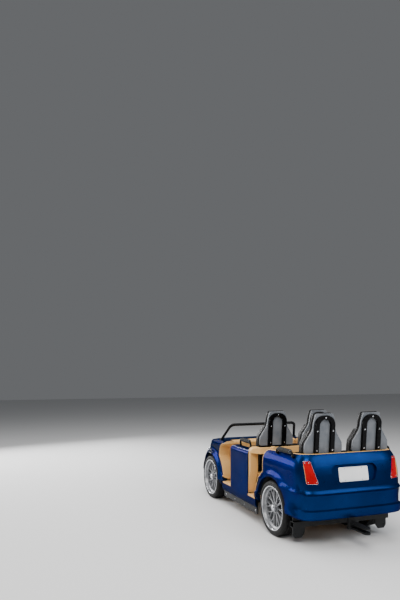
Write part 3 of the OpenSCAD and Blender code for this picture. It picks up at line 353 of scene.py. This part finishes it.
SLOT_BY_PART = [
    ("front_body", "body_blue"), ("rear_body", "body_blue"), ("side_mouldings", "body_blue"),
    ("floor_tub", "liner_tan"), ("dash_cowl", "liner_tan"), ("mid_bulkhead", "liner_tan"),
    ("rear_tub", "liner_tan"), ("windscreen_hoop", "tube_black"), ("seat_shells", "shell_grey"),
    # The back panel behind the front seats is a black sheet put where the inside of the car lies in shade:
    # painted shade.
    ("seat_pads", "pad_black"), ("seat_back_bars", "tube_black"), ("back_panel", "tube_black"),
    ("handle_rods", "tube_black"), ("handle_grips", "grip_foam"), ("tail_lamps", "lamp_red"),
    ("headlamps", "lamp_clear"),
    ("grille", "grille_black"), ("number_plate", "plate_white"), ("side_markers", "trim_chrome"),
    ("wheel_wells", "well_black"), ("lap_bar_brackets", "chassis_grey"), ("lap_bar", "tube_black"),
    ("chassis_frame", "chassis_grey"), ("couplers", "chassis_grey"), ("wheel_carriers", "chassis_grey"),
    ("rim_", "rim_silver"), ("tyre_", "tyre_black"), ("rail_axle", "wheel_steel"),
    ("up_stop", "wheel_polymer"), ("guide", "wheel_polymer")
]

for name, piece in NODES.items():
    piece.data.materials.clear()
    piece.data.materials.append(FINISH[slot_of(name)])
    shade(piece)
print("dressed:", len(NODES))

# %% [markdown]
# ## Modelling by hand, in code
# Each new piece starts as a simple form at its size, and is then shaped in edit mode as a person
# would do it at the screen: faces are picked by their place, then extruded, inset, spun or bevelled.
# Before each step everything is deselected, because an operator acts on all that is selected.

# %% Helpers for modelling
def deselect():
    """Leaves edit mode and selects nothing."""
    if bpy.context.mode != "OBJECT":
        bpy.ops.object.mode_set(mode="OBJECT")
    bpy.ops.object.select_all(action="DESELECT")


def take(piece):
    """Makes one piece the only selected one."""
    deselect()
    piece.select_set(True)
    bpy.context.view_layer.objects.active = piece


def open_up(piece, kind="FACE", action="DESELECT"):
    """Opens a piece in edit mode, with nothing or all of it selected."""
    take(piece)
    bpy.ops.object.mode_set(mode="EDIT")
    bpy.ops.mesh.select_mode(type=kind)
    bpy.ops.mesh.select_all(action=action)


def pick_faces(piece, test):
    """Opens a piece in edit mode with the faces selected whose centre and normal pass a test."""
    open_up(piece)
    bpy.ops.object.mode_set(mode="OBJECT")
    for face in piece.data.polygons:
        face.select = bool(test(face.center, face.normal))
    bpy.ops.object.mode_set(mode="EDIT")


def tidy(piece, angle=35, merge=0.00001):
    """Merges doubles, turns the faces outward, puts the place in the mesh and shades by angle."""
    open_up(piece, "VERT", "SELECT")
    bpy.ops.mesh.remove_doubles(threshold=merge)
    bpy.ops.mesh.normals_make_consistent(inside=False)
    take(piece)
    bpy.ops.object.transform_apply(location=True, rotation=True, scale=True)
    bpy.ops.object.shade_smooth_by_angle(angle=math.radians(angle))
    return piece


def apply(piece, name, kind, **settings):
    """Adds a modifier with its settings and applies it."""
    modifier = piece.modifiers.new(name, kind)
    for key, value in settings.items():
        setattr(modifier, key, value)
    take(piece)
    bpy.ops.object.modifier_apply(modifier=name)


def drawn(name, points):
    """A chain of vertices drawn point by point from a single vertex."""
    deselect()
    bpy.ops.mesh.primitive_plane_add(size=0.01, location=(0, 0, 0))
    piece = bpy.context.object
    piece.name = name
    open_up(piece, "VERT", "SELECT")
    bpy.ops.mesh.merge(type="CENTER")
    bpy.ops.transform.translate(value=points[0])
    for a, b in zip(points, points[1:]):
        step = Vector(b) - Vector(a)
        bpy.ops.mesh.extrude_vertices_move(TRANSFORM_OT_translate={"value": step})
    return piece


def turned(name, profile, steps=48, angle=35):
    """A turned piece about the Z axis, from (radius, height) points."""
    piece = drawn(name, [(r, 0, z) for r, z in profile])
    bpy.ops.mesh.select_all(action="SELECT")
    bpy.ops.mesh.spin(steps=steps, angle=math.radians(360), center=(0, 0, 0), axis=(0, 0, 1))
    return tidy(piece, angle)


def bead(name, points, radius, closed=False):
    """A round bead along a line of points, as a mesh."""
    line = bpy.data.curves.new(name, "CURVE")
    line.dimensions = "3D"
    line.bevel_depth = radius
    line.bevel_resolution = 1
    line.use_fill_caps = not closed
    spline = line.splines.new("POLY")
    spline.points.add(len(points) - 1)
    for knot, at in zip(spline.points, points):
        knot.co = (*at, 1)
    spline.use_cyclic_u = closed
    piece = bpy.data.objects.new(name, line)
    bpy.context.scene.collection.objects.link(piece)
    take(piece)
    bpy.ops.object.convert(target="MESH")
    return tidy(bpy.context.object, 60)


print("modelling helpers ready")

# %% [markdown]
# A piece that repeats is modelled once and copied. Each copy gets its own mesh, and its place goes
# into that mesh. Small fasteners of one kind are joined, so the car has one piece of each kind.

# %% Helpers for copies and riding
MIRROR = Matrix.Scale(-1, 4, (0, 1, 0))
SIDES = ((1, "left"), (-1, "right"))


def copy_of(piece, name, place):
    """One copy of a piece at a place."""
    take(piece)
    bpy.ops.object.duplicate(linked=False)
    made = bpy.context.object
    made.name = name
    made.data.transform(place)
    if place.determinant() < 0:
        made.data.flip_normals()
    return made


def joined(pieces, name):
    """Several pieces as one."""
    deselect()
    for one in pieces:
        one.select_set(True)
    bpy.context.view_layer.objects.active = pieces[0]
    if len(pieces) > 1:
        bpy.ops.object.join()
    pieces[0].name = name
    return pieces[0]


def set_out(piece, name, places):
    """Copies of a piece at each place, as one piece. The pattern itself is removed."""
    made = joined([copy_of(piece, name, place) for place in places], name)
    remove(piece)
    return made


def dress(piece, slot, body="car", look=None, replaces=()):
    """Gives a piece the finish of its slot, the body that it rides on, and hides the pieces it stands for.
    """
    piece.data.materials.clear()
    piece.data.materials.append(look or FINISH[slot])
    if replaces:
        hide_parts(*replaces)
    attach(piece, body)
    return piece


def pattern_of(node):
    """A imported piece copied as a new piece, with its loose triangles merged."""
    piece = bpy.data.objects.new(node + "_copy", NODES[node].data.copy())
    bpy.context.scene.collection.objects.link(piece)
    open_up(piece, "VERT", "SELECT")
    bpy.ops.mesh.remove_doubles(threshold=0.00002)
    take(piece)
    return piece


def move(x, y, z):
    """A place, from where it is."""
    return Matrix.Translation((x, y, z))


def turn(degrees, axis):
    """A place, from how it is turned."""
    return Matrix.Rotation(math.radians(degrees), 4, axis)


def remove(*patterns):
    """Takes away the patterns that the copies were made from."""
    for piece in patterns:
        bpy.data.objects.remove(piece, do_unlink=True)


print("copy helpers ready")

# %% [markdown]
# ## Seat pads
# A real pad is foam in a sewn vinyl cover: it swells between its seams and lies flat where it
# rests on its shell. Cloth under a little pressure gives that shape. One back pad and one cushion
# are swollen, and copied to the four seats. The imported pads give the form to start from.

# %% Where the seats are
ROWS = ((-0.305, 0.645, "front"), (-1.292, 0.690, "rear"))
SEAT_Y = 0.283
LEAN_BACK = turn(-4.4, "Y")
SEATS = [(x, side * SEAT_Y, z, row + "_" + word) for x, z, row in ROWS for side, word in SIDES]
SWELL_FRAMES = 20


def seat_part(inner):
    """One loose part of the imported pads, of the front left seat, in the seat's own frame."""
    piece = pattern_of("seat_pads")
    open_up(piece, "VERT", "SELECT")
    bpy.ops.mesh.separate(type="LOOSE")
    deselect()
    x, y, z = SEATS[0][:3]
    kept = None
    for part in [o for o in bpy.data.objects if o.name.startswith("seat_pads_copy")]:
        spots = [v.co for v in part.data.vertices]
        middle = sum(spots, Vector()) / len(spots) - Vector((x, y, z))
        if middle.length < 0.6 and inner(middle):
            kept = part
        else:
            remove(part)
    kept.data.transform(move(-x, -y, -z))
    kept.name = "pad_pattern"
    return kept


def swell(piece, voxel, hold, pressure=4.0):
    """Swells a closed cover as foam does. hold(place) says how far a point may move."""
    apply(piece, "skin", "REMESH", mode="VOXEL", voxel_size=voxel)
    rest = [v.co.copy() for v in piece.data.vertices]
    cover = piece.modifiers.new("foam", "CLOTH")
    cover.settings.use_pressure = True
    cover.settings.uniform_pressure_force = pressure
    cover.settings.effector_weights.gravity = 0
    cover.point_cache.frame_start = 1
    cover.point_cache.frame_end = SWELL_FRAMES
    for step in range(1, SWELL_FRAMES + 1):
        bpy.context.scene.frame_set(step)
    take(piece)
    bpy.ops.object.modifier_apply(modifier="foam")
    bpy.context.scene.frame_set(1)
    for v, at in zip(piece.data.vertices, rest):
        shift = v.co - at
        far = hold(at)
        if shift.length > far:
            v.co = at + shift * (far / shift.length)
    apply(piece, "round", "SUBSURF", levels=1, render_levels=1)
    take(piece)
    bpy.ops.object.shade_smooth()


print("seats:", [s[3] for s in SEATS])

# %% The back pad
SEAM_X = 0.031
BACK_CHANNELS = (0.125, 0.225, 0.325, 0.425)


def groove(distance, width, depth):
    """How deep a sewn line pulls the cover in, at a distance from it."""
    return depth * math.exp(-(distance / width) ** 2)


def back_hold(at):
    """The back pad is held at its shell and along its side seam."""
    if at.x < 0.004:
        return 0.0
    far = 0.010 if at.x > 0.055 and abs(at.y) < 0.15 else 0.006
    if at.z < 0.04:
        far = 0.002
    return far * (1 - math.exp(-((at.x - SEAM_X) / 0.010) ** 2))


back_pad = seat_part(lambda middle: middle.z > 0.05)
back_pad.data.transform(LEAN_BACK.inverted())
rim_spots = [v.co.copy() for v in back_pad.data.vertices if v.co.x < 0.0006]
rim_spots.sort(key=lambda at: math.atan2(at.z - 0.30, at.y))
swell(back_pad, 0.010, back_hold)
for v in back_pad.data.vertices:
    at = v.co
    if at.x > 0.040 and abs(at.y) < 0.165:
        fade = min(1.0, max(0.0, (0.165 - abs(at.y)) / 0.02))
        at.x -= fade * sum(groove(at.z - line, 0.007, 0.007) for line in BACK_CHANNELS)
    at.x = max(at.x, 0.0006)
print("back pad faces:", len(back_pad.data.polygons), "seam points:", len(rim_spots))

# %% [markdown]
# The seam around a pad is covered by a welt, a thin cord sewn into the vinyl. It sits where the
# cover is pulled in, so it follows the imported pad's own outline.

# %% The welt of a back pad
clean = [rim_spots[0]]
for at in rim_spots[1:]:
    if (at - clean[-1]).length > 0.006:
        clean.append(at)
welt = bead("back_welt", [(SEAM_X, at.y * 1.002, at.z) for at in clean], 0.0042, closed=True)
print("welt points:", len(clean))

# %% The cushion
def cushion_hold(at):
    """The cushion rests on its bench, and keeps clear of the back pad."""
    if at.z < -0.080:
        return 0.0
    far = 0.014 if at.z > -0.012 else 0.006
    if at.x < 0.09:
        far = 0.003
    return far * (1 - math.exp(-((at.z + 0.034) / 0.010) ** 2))


CUSHION_CHANNELS = (0.165, 0.265, 0.365)
CUSHION_BOTTOM = -0.0842
cushion = seat_part(lambda middle: middle.z < 0.05)
swell(cushion, 0.010, cushion_hold)
for v in cushion.data.vertices:
    at = v.co
    if at.z > -0.02 and abs(at.y) < 0.18:
        fade = min(1.0, max(0.0, (0.18 - abs(at.y)) / 0.03))
        at.z -= fade * sum(groove(at.x - line, 0.007, 0.006) for line in CUSHION_CHANNELS)
    at.z = max(at.z, CUSHION_BOTTOM)
print("cushion faces:", len(cushion.data.polygons))

# %% The welt of a cushion
corner = 0.022
back_x, front_x, half_y = 0.069 + corner, 0.461 - corner, 0.1995 - corner
ring = []
for cx, cy, start in ((front_x, half_y, 0), (back_x, half_y, 90),
                      (back_x, -half_y, 180), (front_x, -half_y, 270)):
    for k in range(5):
        angle = math.radians(start + 22.5 * k)
        ring.append((cx + corner * math.cos(angle), cy + corner * math.sin(angle), -0.034))
cushion_welt = bead("cushion_welt", ring, 0.0040, closed=True)
print("cushion welt points:", len(ring))

# %% Put pads, cushions and welts on the four seats
welts = []
for x, y, z, word in SEATS:
    back = dress(copy_of(back_pad, "back_pad_" + word, move(x, y, z) @ LEAN_BACK), "pad_black",
                 replaces=("seat_pads",))
    base = dress(copy_of(cushion, "cushion_" + word, move(x, y, z)), "pad_black", replaces=("seat_pads",))
    welts.append(copy_of(welt, "welt", move(x, y, z) @ LEAN_BACK))
    welts.append(copy_of(cushion_welt, "welt", move(x, y, z)))
dress(joined(welts, "pad_welts"), "pad_black")
remove(back_pad, cushion, welt, cushion_welt)
print("pads placed:", len(SEATS) * 2)

# %% [markdown]
# ## Lap bars
# A lap bar is a bent steel arm with a foam sleeve across its end. The steel arm keeps the packed
# shape, without its plain cylinder. The sleeve is swollen as the pads are, with stitched bands.

# %% The lap bars' arms and sleeves
def near(at, middle, reach):
    """Whether a point lies within reach of a line along Y."""
    return math.hypot(at.x - middle.x, at.z - middle.z) < reach


PIVOTS = {"front": (0.285, 0.372), "rear": (-0.702, 0.417)}
BAR_BACK, BAR_UP = 0.265, 0.430
PACKED_ROLL_R = 0.0386
sleeve = turned("sleeve", [(0, -0.180), (0.026, -0.180), (0.033, -0.174), (0.0355, -0.165), (0.0355, 0.165),
                           (0.033, 0.174), (0.026, 0.180), (0, 0.180)], 40)
swell(sleeve, 0.008, lambda at: 0.0035 if abs(at.z) < 0.17 else 0.0005)
for v in sleeve.data.vertices:
    pull = 1 - sum(groove(abs(v.co.z) - line, 0.006, 0.07) for line in (0.0, 0.088, 0.160))
    v.co.x *= pull
    v.co.y *= pull
for row, (pivot_x, pivot_z) in PIVOTS.items():
    for side, word in SIDES:
        node = "lap_bar_" + row + "_" + word
        middle = Vector((pivot_x - BAR_BACK, side * SEAT_Y, pivot_z + BAR_UP))
        arm = pattern_of(node)
        open_up(arm)
        bpy.ops.object.mode_set(mode="OBJECT")
        for face in arm.data.polygons:
            face.select = all(near(arm.data.vertices[i].co, middle, PACKED_ROLL_R) for i in face.vertices)
        bpy.ops.object.mode_set(mode="EDIT")
        bpy.ops.mesh.delete(type="FACE")
        bpy.ops.mesh.select_all(action="SELECT")
        bpy.ops.mesh.fill_holes(sides=0)
        arm.name = node + "_arm"
        tidy(arm)
        dress(arm, "tube_black", node, replaces=(node,))
        roll = copy_of(sleeve, node + "_sleeve", move(*middle) @ turn(90, "X"))
        dress(roll, "pad_black", node, replaces=(node,))
remove(sleeve)
print("lap bars dressed:", 4)

# %% [markdown]
# ## Foam grips
# The grips on the handles are moulded foam with rings pressed into them, so a hand doesn't slip.
# They are turned from one ribbed profile, with a light washer at each end.

# %% Grips and their end washers
def ribbed(length, radius, bore, ribs):
    """The profile of a ribbed grip, from one end to the other."""
    line = [(bore, -length / 2), (radius - 0.004, -length / 2), (radius - 0.001, -length / 2 + 0.003)]
    pitch = (length - 0.016) / ribs
    for k in range(ribs):
        low_z = -length / 2 + 0.008 + k * pitch
        line += [(radius, low_z), (radius, low_z + pitch * 0.55), (radius - 0.0026, low_z + pitch * 0.68),
                 (radius - 0.0026, low_z + pitch * 0.88)]
    line += [(radius - 0.001, length / 2 - 0.003), (radius - 0.004, length / 2), (bore, length / 2)]
    return line + [line[0]]


HANDLES = ((-0.070, 0.558, 0.9153, 0.201, 0), (-1.092, 0.5916, 0.9405, 0.229, 0.4))
grips = []
washers = []
for x, y, z, length, yaw in HANDLES:
    grip = turned("grip", ribbed(length, 0.0252, 0.0121, 14), 36)
    washer = turned("washer", [(0.0122, 0), (0.0195, 0), (0.0205, 0.0012), (0.0195, 0.0026),
                               (0.0122, 0.0026), (0.0122, 0)], 28)
    for side, word in SIDES:
        along = move(x, y, z) @ turn(yaw, "Z") @ turn(90, "Y")
        place = along if side > 0 else MIRROR @ along
        grips.append(copy_of(grip, "grip", place))
        for end in (-length / 2 - 0.0027, length / 2 + 0.0001):
            washers.append(copy_of(washer, "washer", place @ move(0, 0, end)))
    remove(grip, washer)
foam = dress(joined(grips, "foam_grips"), "grip_foam", replaces=("handle_grips",))
dress(joined(washers, "grip_washers"), "shell_grey")
print("grips:", 4)

# %% [markdown]
# ## Tyres
# A tyre is turned from its section: bead, bulged wall, shoulder, and a tread with three grooves
# around it. The cross grooves are cut as by hand: the edges across each shoulder are bevelled into
# narrow strips, which are then pushed in. One tyre is made, and copied to the four wheels.

# %% Where the show wheels are
AXLE_X = {"front": 0.960, "rear": -0.860}
AXLE_Z = 0.290
WHEEL_FACE_Y = 0.618
WHEELS = [(x, side, row + "_" + word) for row, x in AXLE_X.items() for side, word in SIDES]


def wheel_at(x, side):
    """The place of a wheel: its own Z axis points out of the car."""
    return move(x, side * WHEEL_FACE_Y, AXLE_Z) @ turn(-side * 90, "X")


# %% One tyre
TREAD_R = 0.290
section = [(0.2363, -0.0037), (0.240, 0.0035), (0.247, 0.0052), (0.256, 0.0058), (0.266, 0.0044),
           (0.2745, 0.0008), (0.2802, -0.0034), (0.2852, -0.009), (0.2885, -0.0155), (TREAD_R, -0.024)]
for middle in (-0.050, -0.0825, -0.115):
    section += [(TREAD_R, middle + 0.0045), (0.2835, middle + 0.003), (0.2835, middle - 0.003),
                (TREAD_R, middle - 0.0045)]
section += [(TREAD_R, -0.141), (0.2885, -0.1495), (0.2852, -0.156), (0.277, -0.1612), (0.256, -0.1632),
            (0.240, -0.157), (0.2323, -0.1425), (0.2363, -0.0037)]
tyre = turned("tyre", section, 90)
open_up(tyre, "EDGE")
bpy.ops.object.mode_set(mode="OBJECT")
for edge in tyre.data.edges:
    a, b = (tyre.data.vertices[i].co for i in edge.vertices)
    across = abs(a.z - b.z) > 0.015 and math.hypot(a.x, a.y) > TREAD_R - 0.0005
    edge.select = across and not -0.120 < (a.z + b.z) / 2 < -0.045
bpy.ops.object.mode_set(mode="EDIT")
bpy.ops.mesh.bevel(offset=0.0022, segments=1, affect="EDGES")
bpy.ops.mesh.select_mode(type="FACE")
bpy.ops.mesh.extrude_region_shrink_fatten(TRANSFORM_OT_shrink_fatten={"value": -0.0055})
tidy(tyre, 30)
for x, side, word in WHEELS:
    dress(copy_of(tyre, "tread_tyre_" + word, wheel_at(x, side)), "tyre_black", "show_wheel_" + word,
          replaces=("tyre_" + word,))
print("tyre faces:", len(tyre.data.polygons))
remove(tyre)

# %% [markdown]
# ## Wheel caps, nuts and drums
# Behind the spokes of the real wheel a dull drum shows, brown with dust. In front, a polished ring
# ends the lip, and a cap with five nuts closes the hub. All of them turn with the wheel.

# %% Drum, lip ring, cap and nuts
drum = turned("drum", [(0.052, -0.092), (0.190, -0.092), (0.2005, -0.086), (0.2005, -0.074),
                       (0.196, -0.072), (0.186, -0.080), (0.120, -0.082), (0.100, -0.074),
                       (0.060, -0.074), (0.052, -0.078), (0.052, -0.092)], 72)
lip = turned("lip", [(0.2242, -0.0030), (0.2262, 0.0000), (0.2300, 0.0014), (0.2340, 0.0012),
                     (0.2362, -0.0014), (0.2350, -0.0030), (0.2242, -0.0030)], 96)
cap = turned("cap", [(0, -0.0179), (0.031, -0.0179), (0.031, -0.0120), (0.0285, -0.0085),
                     (0.022, -0.0060), (0.012, -0.0045), (0, -0.0040)], 40)
nut = turned("nut", [(0, -0.0180), (0.0058, -0.0180), (0.0058, -0.0125), (0.0046, -0.0112),
                     (0, -0.0112)], 6)
for x, side, word in WHEELS:
    at = wheel_at(x, side)
    body = "show_wheel_" + word
    dress(copy_of(drum, "wheel_drum_" + word, at), "wheel_steel", body)
    dress(copy_of(lip, "rim_lip_" + word, at), "trim_chrome", body)
    bits = [copy_of(cap, "cap", at)]
    bits += [copy_of(nut, "nut", at @ turn(72 * k, "Z") @ move(0.0385, 0, 0)) for k in range(5)]
    dress(joined(bits, "hub_cap_" + word), "trim_chrome", body)
remove(drum, lip, cap, nut)
print("wheels dressed:", len(WHEELS))

# %% [markdown]
# ## Fasteners
# The seat bars, lamps, plate and skirts are held by bolts and screws that catch the light in the
# photograph. One pattern is turned, a domed bolt on its washer, in the size that each place needs.
# Each set of copies is one piece. A bolt's own Z axis points out of the surface that it holds.

# %% The bolt, and the bolts on the seat bars
def dome_bolt(size=1.0):
    """A domed bolt on a washer, 17 mm across at size 1."""
    return turned("bolt", [(r * size, z * size) for r, z in (
        (0, 0), (0.0086, 0), (0.0086, 0.0011), (0.0066, 0.0014), (0.0063, 0.0038), (0.0048, 0.0056),
        (0.0026, 0.0062), (0.0024, 0.0046), (0, 0.0046))], 12)


BACKWARD = turn(-90, "Y")
OUTWARD = {1: turn(-90, "X"), -1: turn(90, "X")}
bar_places = []
for x, y, z, word in SEATS:
    for by, bz in ((0, 0.605), (0.091, 0.471), (-0.091, 0.471), (0.091, 0.276), (-0.091, 0.276)):
        bar_places.append(move(x, y, z) @ LEAN_BACK @ move(-0.0432, by, bz) @ BACKWARD)
dress(set_out(dome_bolt(), "seat_bar_bolts", bar_places), "trim_chrome")
print("bar bolts:", len(bar_places))

# %% Bolts on the skirts, drop plates and plate
skirt_places = [move(x, side * 0.5916, 0.157) @ OUTWARD[side] for x in (0.452, 0.170, -0.111, -0.413)
                for side, word in SIDES]
dress(set_out(dome_bolt(1.1), "skirt_bolts", skirt_places), "trim_chrome")
drop_places = [move(-1.2261, side * y, z) @ BACKWARD for y in (0.455, 0.545) for z in (0.105, 0.395)
               for side, word in SIDES]
dress(set_out(dome_bolt(1.3), "drop_plate_bolts", drop_places), "chassis_grey")
PLATE = move(-1.464, 0, 0.738) @ turn(10.5, "Y")
plate_places = [PLATE @ move(0.0248, y, z - 0.012) @ BACKWARD for y in (0.100, -0.100)
                for z in (0.058, -0.058)]
dress(set_out(dome_bolt(0.62), "plate_bolts", plate_places), "trim_chrome")
print("other bolts:", len(skirt_places) + len(drop_places) + len(plate_places))

# %% [markdown]
# ## Tail lamps and the plate's edge
# A flat red lens lies in a thin light frame with a screw at each corner. The frame is a bead that
# follows the lens's own rounded outline. The blank plate has a rolled edge of the same kind.
# Lamp and plate are drawn flat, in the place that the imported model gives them.

# %% Lamp frames, lamp screws and the plate's rolled edge
def rounded(corners, radius, steps=5):
    """A closed outline with its corners rounded, from 2-D corner points."""
    line = []
    count = len(corners)
    for k in range(count):
        at, back, on = (Vector(corners[(k + j) % count]) for j in (0, -1, 1))
        to_back = (back - at).normalized()
        to_on = (on - at).normalized()
        half = to_back.angle(to_on) / 2
        reach = radius / math.tan(half)
        middle = at + (to_back + to_on).normalized() * (radius / math.sin(half))
        first = at + to_back * reach - middle
        last = at + to_on * reach - middle
        sweep = first.angle_signed(last)
        for j in range(steps + 1):
            part = Matrix.Rotation(-sweep * j / steps, 2) @ first
            line.append(middle + part)
    return line


LAMP = move(-1.427, 0.503, 0.762) @ turn(-19, "Z") @ turn(12, "Y")
LAMP_CORNERS = [(-0.087, -0.112), (0.036, -0.112), (0.062, 0.111), (-0.011, 0.111)]
frame_line = [(-0.0006, p.x, p.y) for p in rounded(LAMP_CORNERS, 0.0125)]
lamp_frame = bead("lamp_frame", frame_line, 0.0018, closed=True)
lamp_places = [LAMP, MIRROR @ LAMP]
dress(set_out(lamp_frame, "lamp_frames", lamp_places), "trim_chrome")
screws = [side @ move(-0.0004, y, z) @ BACKWARD for side in lamp_places
          for y, z in ((-0.066, -0.094), (0.018, -0.094), (0.041, 0.093), (0.002, 0.093))]
dress(set_out(dome_bolt(0.66), "lamp_screws", screws), "trim_chrome")
plate_line = rounded([(-0.172, -0.070), (0.172, -0.070), (0.172, 0.070), (-0.172, 0.070)], 0.010)
plate_edge = bead("plate_edge", [(0.0244, p.x, p.y - 0.012) for p in plate_line], 0.0024, closed=True)
dress(set_out(plate_edge, "plate_rolled_edge", [PLATE]), "plate_white")
print("lamp screws:", len(screws))

# %% [markdown]
# ## Headlamps
# A headlamp is a bright bowl with a small bulb, under a clear domed lens held by a bezel. Each is
# turned about the lamp's own axis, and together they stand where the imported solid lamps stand.

# %% Headlamps: bowl, bulb, lens and bezel
HEADLAMP = move(1.355, 0.425, 0.590) @ turn(20, "Z") @ turn(62, "Y")


def dome(radius, drop=0.0):
    """The height of the lens's outside at a radius."""
    return -0.118 + math.sqrt(0.168 ** 2 - radius ** 2) - drop


bowl_line = [(0, -0.038), (0.0878, -0.038), (0.0878, 0.0205), (0.0815, 0.0205)]
bowl_line += [(r, 0.0205 - 0.052 * (1 - (r / 0.0815) ** 2))
              for r in (0.075, 0.066, 0.056, 0.045, 0.034, 0.022)]
bowl = turned("bowl", bowl_line + [(0.016, -0.031), (0, -0.031)], 56, 50)
radii = [0.0845 * k / 12 for k in range(13)]
lens_line = [(r, dome(r)) for r in radii] + [(r, dome(r, 0.0025)) for r in reversed(radii)]
lens = turned("lens", lens_line, 56, 50)
bezel = turned("bezel", [(0.0800, 0.0285), (0.0815, 0.0320), (0.0845, 0.0330), (0.0875, 0.0300),
                         (0.0884, 0.0230), (0.0884, 0.0120), (0.0855, 0.0120), (0.0850, 0.0240),
                         (0.0800, 0.0285)], 56)
bulb = turned("bulb", [(0, -0.0312), (0.0120, -0.0312), (0.0120, -0.0240), (0.0075, -0.0220),
                       (0.0085, -0.0120), (0.0070, -0.0050), (0.0035, -0.0015), (0, -0.0005)], 20, 50)
ends = [HEADLAMP, MIRROR @ HEADLAMP]
dress(set_out(bowl, "headlamp_bowls", ends), "trim_chrome", replaces=("headlamps",))
dress(set_out(lens, "headlamp_lenses", ends), "lamp_clear", replaces=("headlamps",))
dress(set_out(bezel, "headlamp_bezels", ends), "trim_chrome")
dress(set_out(bulb, "headlamp_bulbs", ends), "lamp_clear")
print("headlamps:", len(ends))

# %% [markdown]
# ## Arch seals and rubber mats
# Between the body's arch and the well behind it, a real car has a black rubber seal that closes the
# gap. It is a ring turned about the wheel's axis, with its lower part cut away. Ribbed rubber mats
# lie in the footwells: a plane is divided, and every other row of its faces is raised.

# %% Arch seals
SEAL_FOOT_Z = 0.352


def over_wheel(ring, row, inner_y):
    """A ring turned about its own Z axis, set around a wheel, with its lower part cut away."""
    ring.data.transform(move(AXLE_X[row], inner_y, AXLE_Z) @ turn(-90, "X"))
    open_up(ring, "VERT", "SELECT")
    bpy.ops.mesh.bisect(plane_co=(0, 0, SEAL_FOOT_Z), plane_no=(0, 0, 1), clear_inner=True, use_fill=True)
    return tidy(ring)


seals = []
for row, inner_y, outer_y in (("front", 0.520, 0.604), ("rear", 0.560, 0.604)):
    width = outer_y - inner_y
    seal = turned("seal", [(0.3375, 0), (0.3375, width), (0.3460, width), (0.3460, 0), (0.3375, 0)], 96)
    over_wheel(seal, row, inner_y)
    seals += [copy_of(seal, "seal", Matrix()), copy_of(seal, "seal", MIRROR)]
    remove(seal)
wall = turned("wall", [(0.2985, 0), (0.2985, 0.002), (0.3430, 0.002), (0.3430, 0.0110), (0.3448, 0.0110),
                       (0.3448, 0.0094), (0.3505, 0.0094), (0.3505, 0), (0.2985, 0)], 96)
over_wheel(wall, "rear", 0.4958)
seals += [copy_of(wall, "seal", MIRROR), wall]
dress(joined(seals, "arch_seals"), "well_black")
print("arch seals:", len(seals))

# %% Rubber mats
MAT_RIM = 0.010


def mat(x0, x1, y0, y1, z, ribs):
    """A ribbed mat: a divided plane, with every other row raised, and a rim."""
    def inside(c):
        return x0 + 0.011 < c.x < x1 - 0.011 and y0 + 0.011 < c.y < y1 - 0.011

    deselect()
    bpy.ops.mesh.primitive_plane_add(size=1, location=((x0 + x1) / 2, (y0 + y1) / 2, z))
    piece = bpy.context.object
    piece.scale = (x1 - x0, y1 - y0, 1)
    bpy.ops.object.transform_apply(location=True, rotation=True, scale=True)
    open_up(piece, "FACE", "SELECT")
    bpy.ops.mesh.inset(thickness=MAT_RIM)
    pitch = (x1 - x0 - 2 * MAT_RIM) / ribs
    for k in range(1, ribs):
        pick_faces(piece, lambda c, n: inside(c))
        bpy.ops.mesh.bisect(plane_co=(x0 + MAT_RIM + pitch * k, 0, 0), plane_no=(1, 0, 0))
    pick_faces(piece, lambda c, n: inside(c) and int((c.x - x0 - MAT_RIM) / pitch) % 2 == 0)
    bpy.ops.mesh.extrude_region_move(TRANSFORM_OT_translate={"value": (0, 0, 0.0022)})
    apply(piece, "thick", "SOLIDIFY", thickness=0.004, offset=1.0)
    return tidy(piece)


mats = []
for x0, x1 in ((0.330, 0.640), (-0.690, -0.430)):
    for side, word in SIDES:
        y0, y1 = sorted((side * 0.060, side * 0.430))
        mats.append(mat(x0, x1, y0, y1, 0.3162, 17))
dress(joined(mats, "footwell_mats"), "well_black")
print("mats:", len(mats))

# %% [markdown]
# ## Linings
# Inside the body a tan lining covers the raw moulding. The quickest true fit is to take the body's
# own inner faces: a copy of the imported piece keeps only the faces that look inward, and gets a wall.

# %% Linings of the centre panels and the rear quarters
def lining(node, keep, floor_z):
    """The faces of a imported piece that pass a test, as a thin lining on the inside."""
    piece = pattern_of(node)
    pick_faces(piece, lambda c, n: not keep(c, n))
    bpy.ops.mesh.delete(type="FACE")
    bpy.ops.mesh.select_all(action="SELECT")
    bpy.ops.mesh.bisect(plane_co=(0, 0, floor_z), plane_no=(0, 0, 1), clear_inner=True)
    apply(piece, "wall", "SOLIDIFY", thickness=0.003, offset=1.0)
    return tidy(piece, 30)


def looks_in(c, n):
    """Whether a face of either side looks to the middle of the car."""
    return n.y * (1 if c.y > 0 else -1) < -0.9


panels = lining("side_mouldings", lambda c, n: looks_in(c, n) and abs(abs(c.y) - 0.606) < 0.002, 0.318)
quarters = lining("rear_body", lambda c, n: (looks_in(c, n) and 0.50 < abs(c.y) < 0.602 and c.z > 0.4)
                  or (n.x > 0.5 and c.x < -1.30 and c.z > 0.45), 0.645)
dress(joined([panels, quarters], "side_linings"), "liner_tan")
print("lining faces:", len(panels.data.polygons))
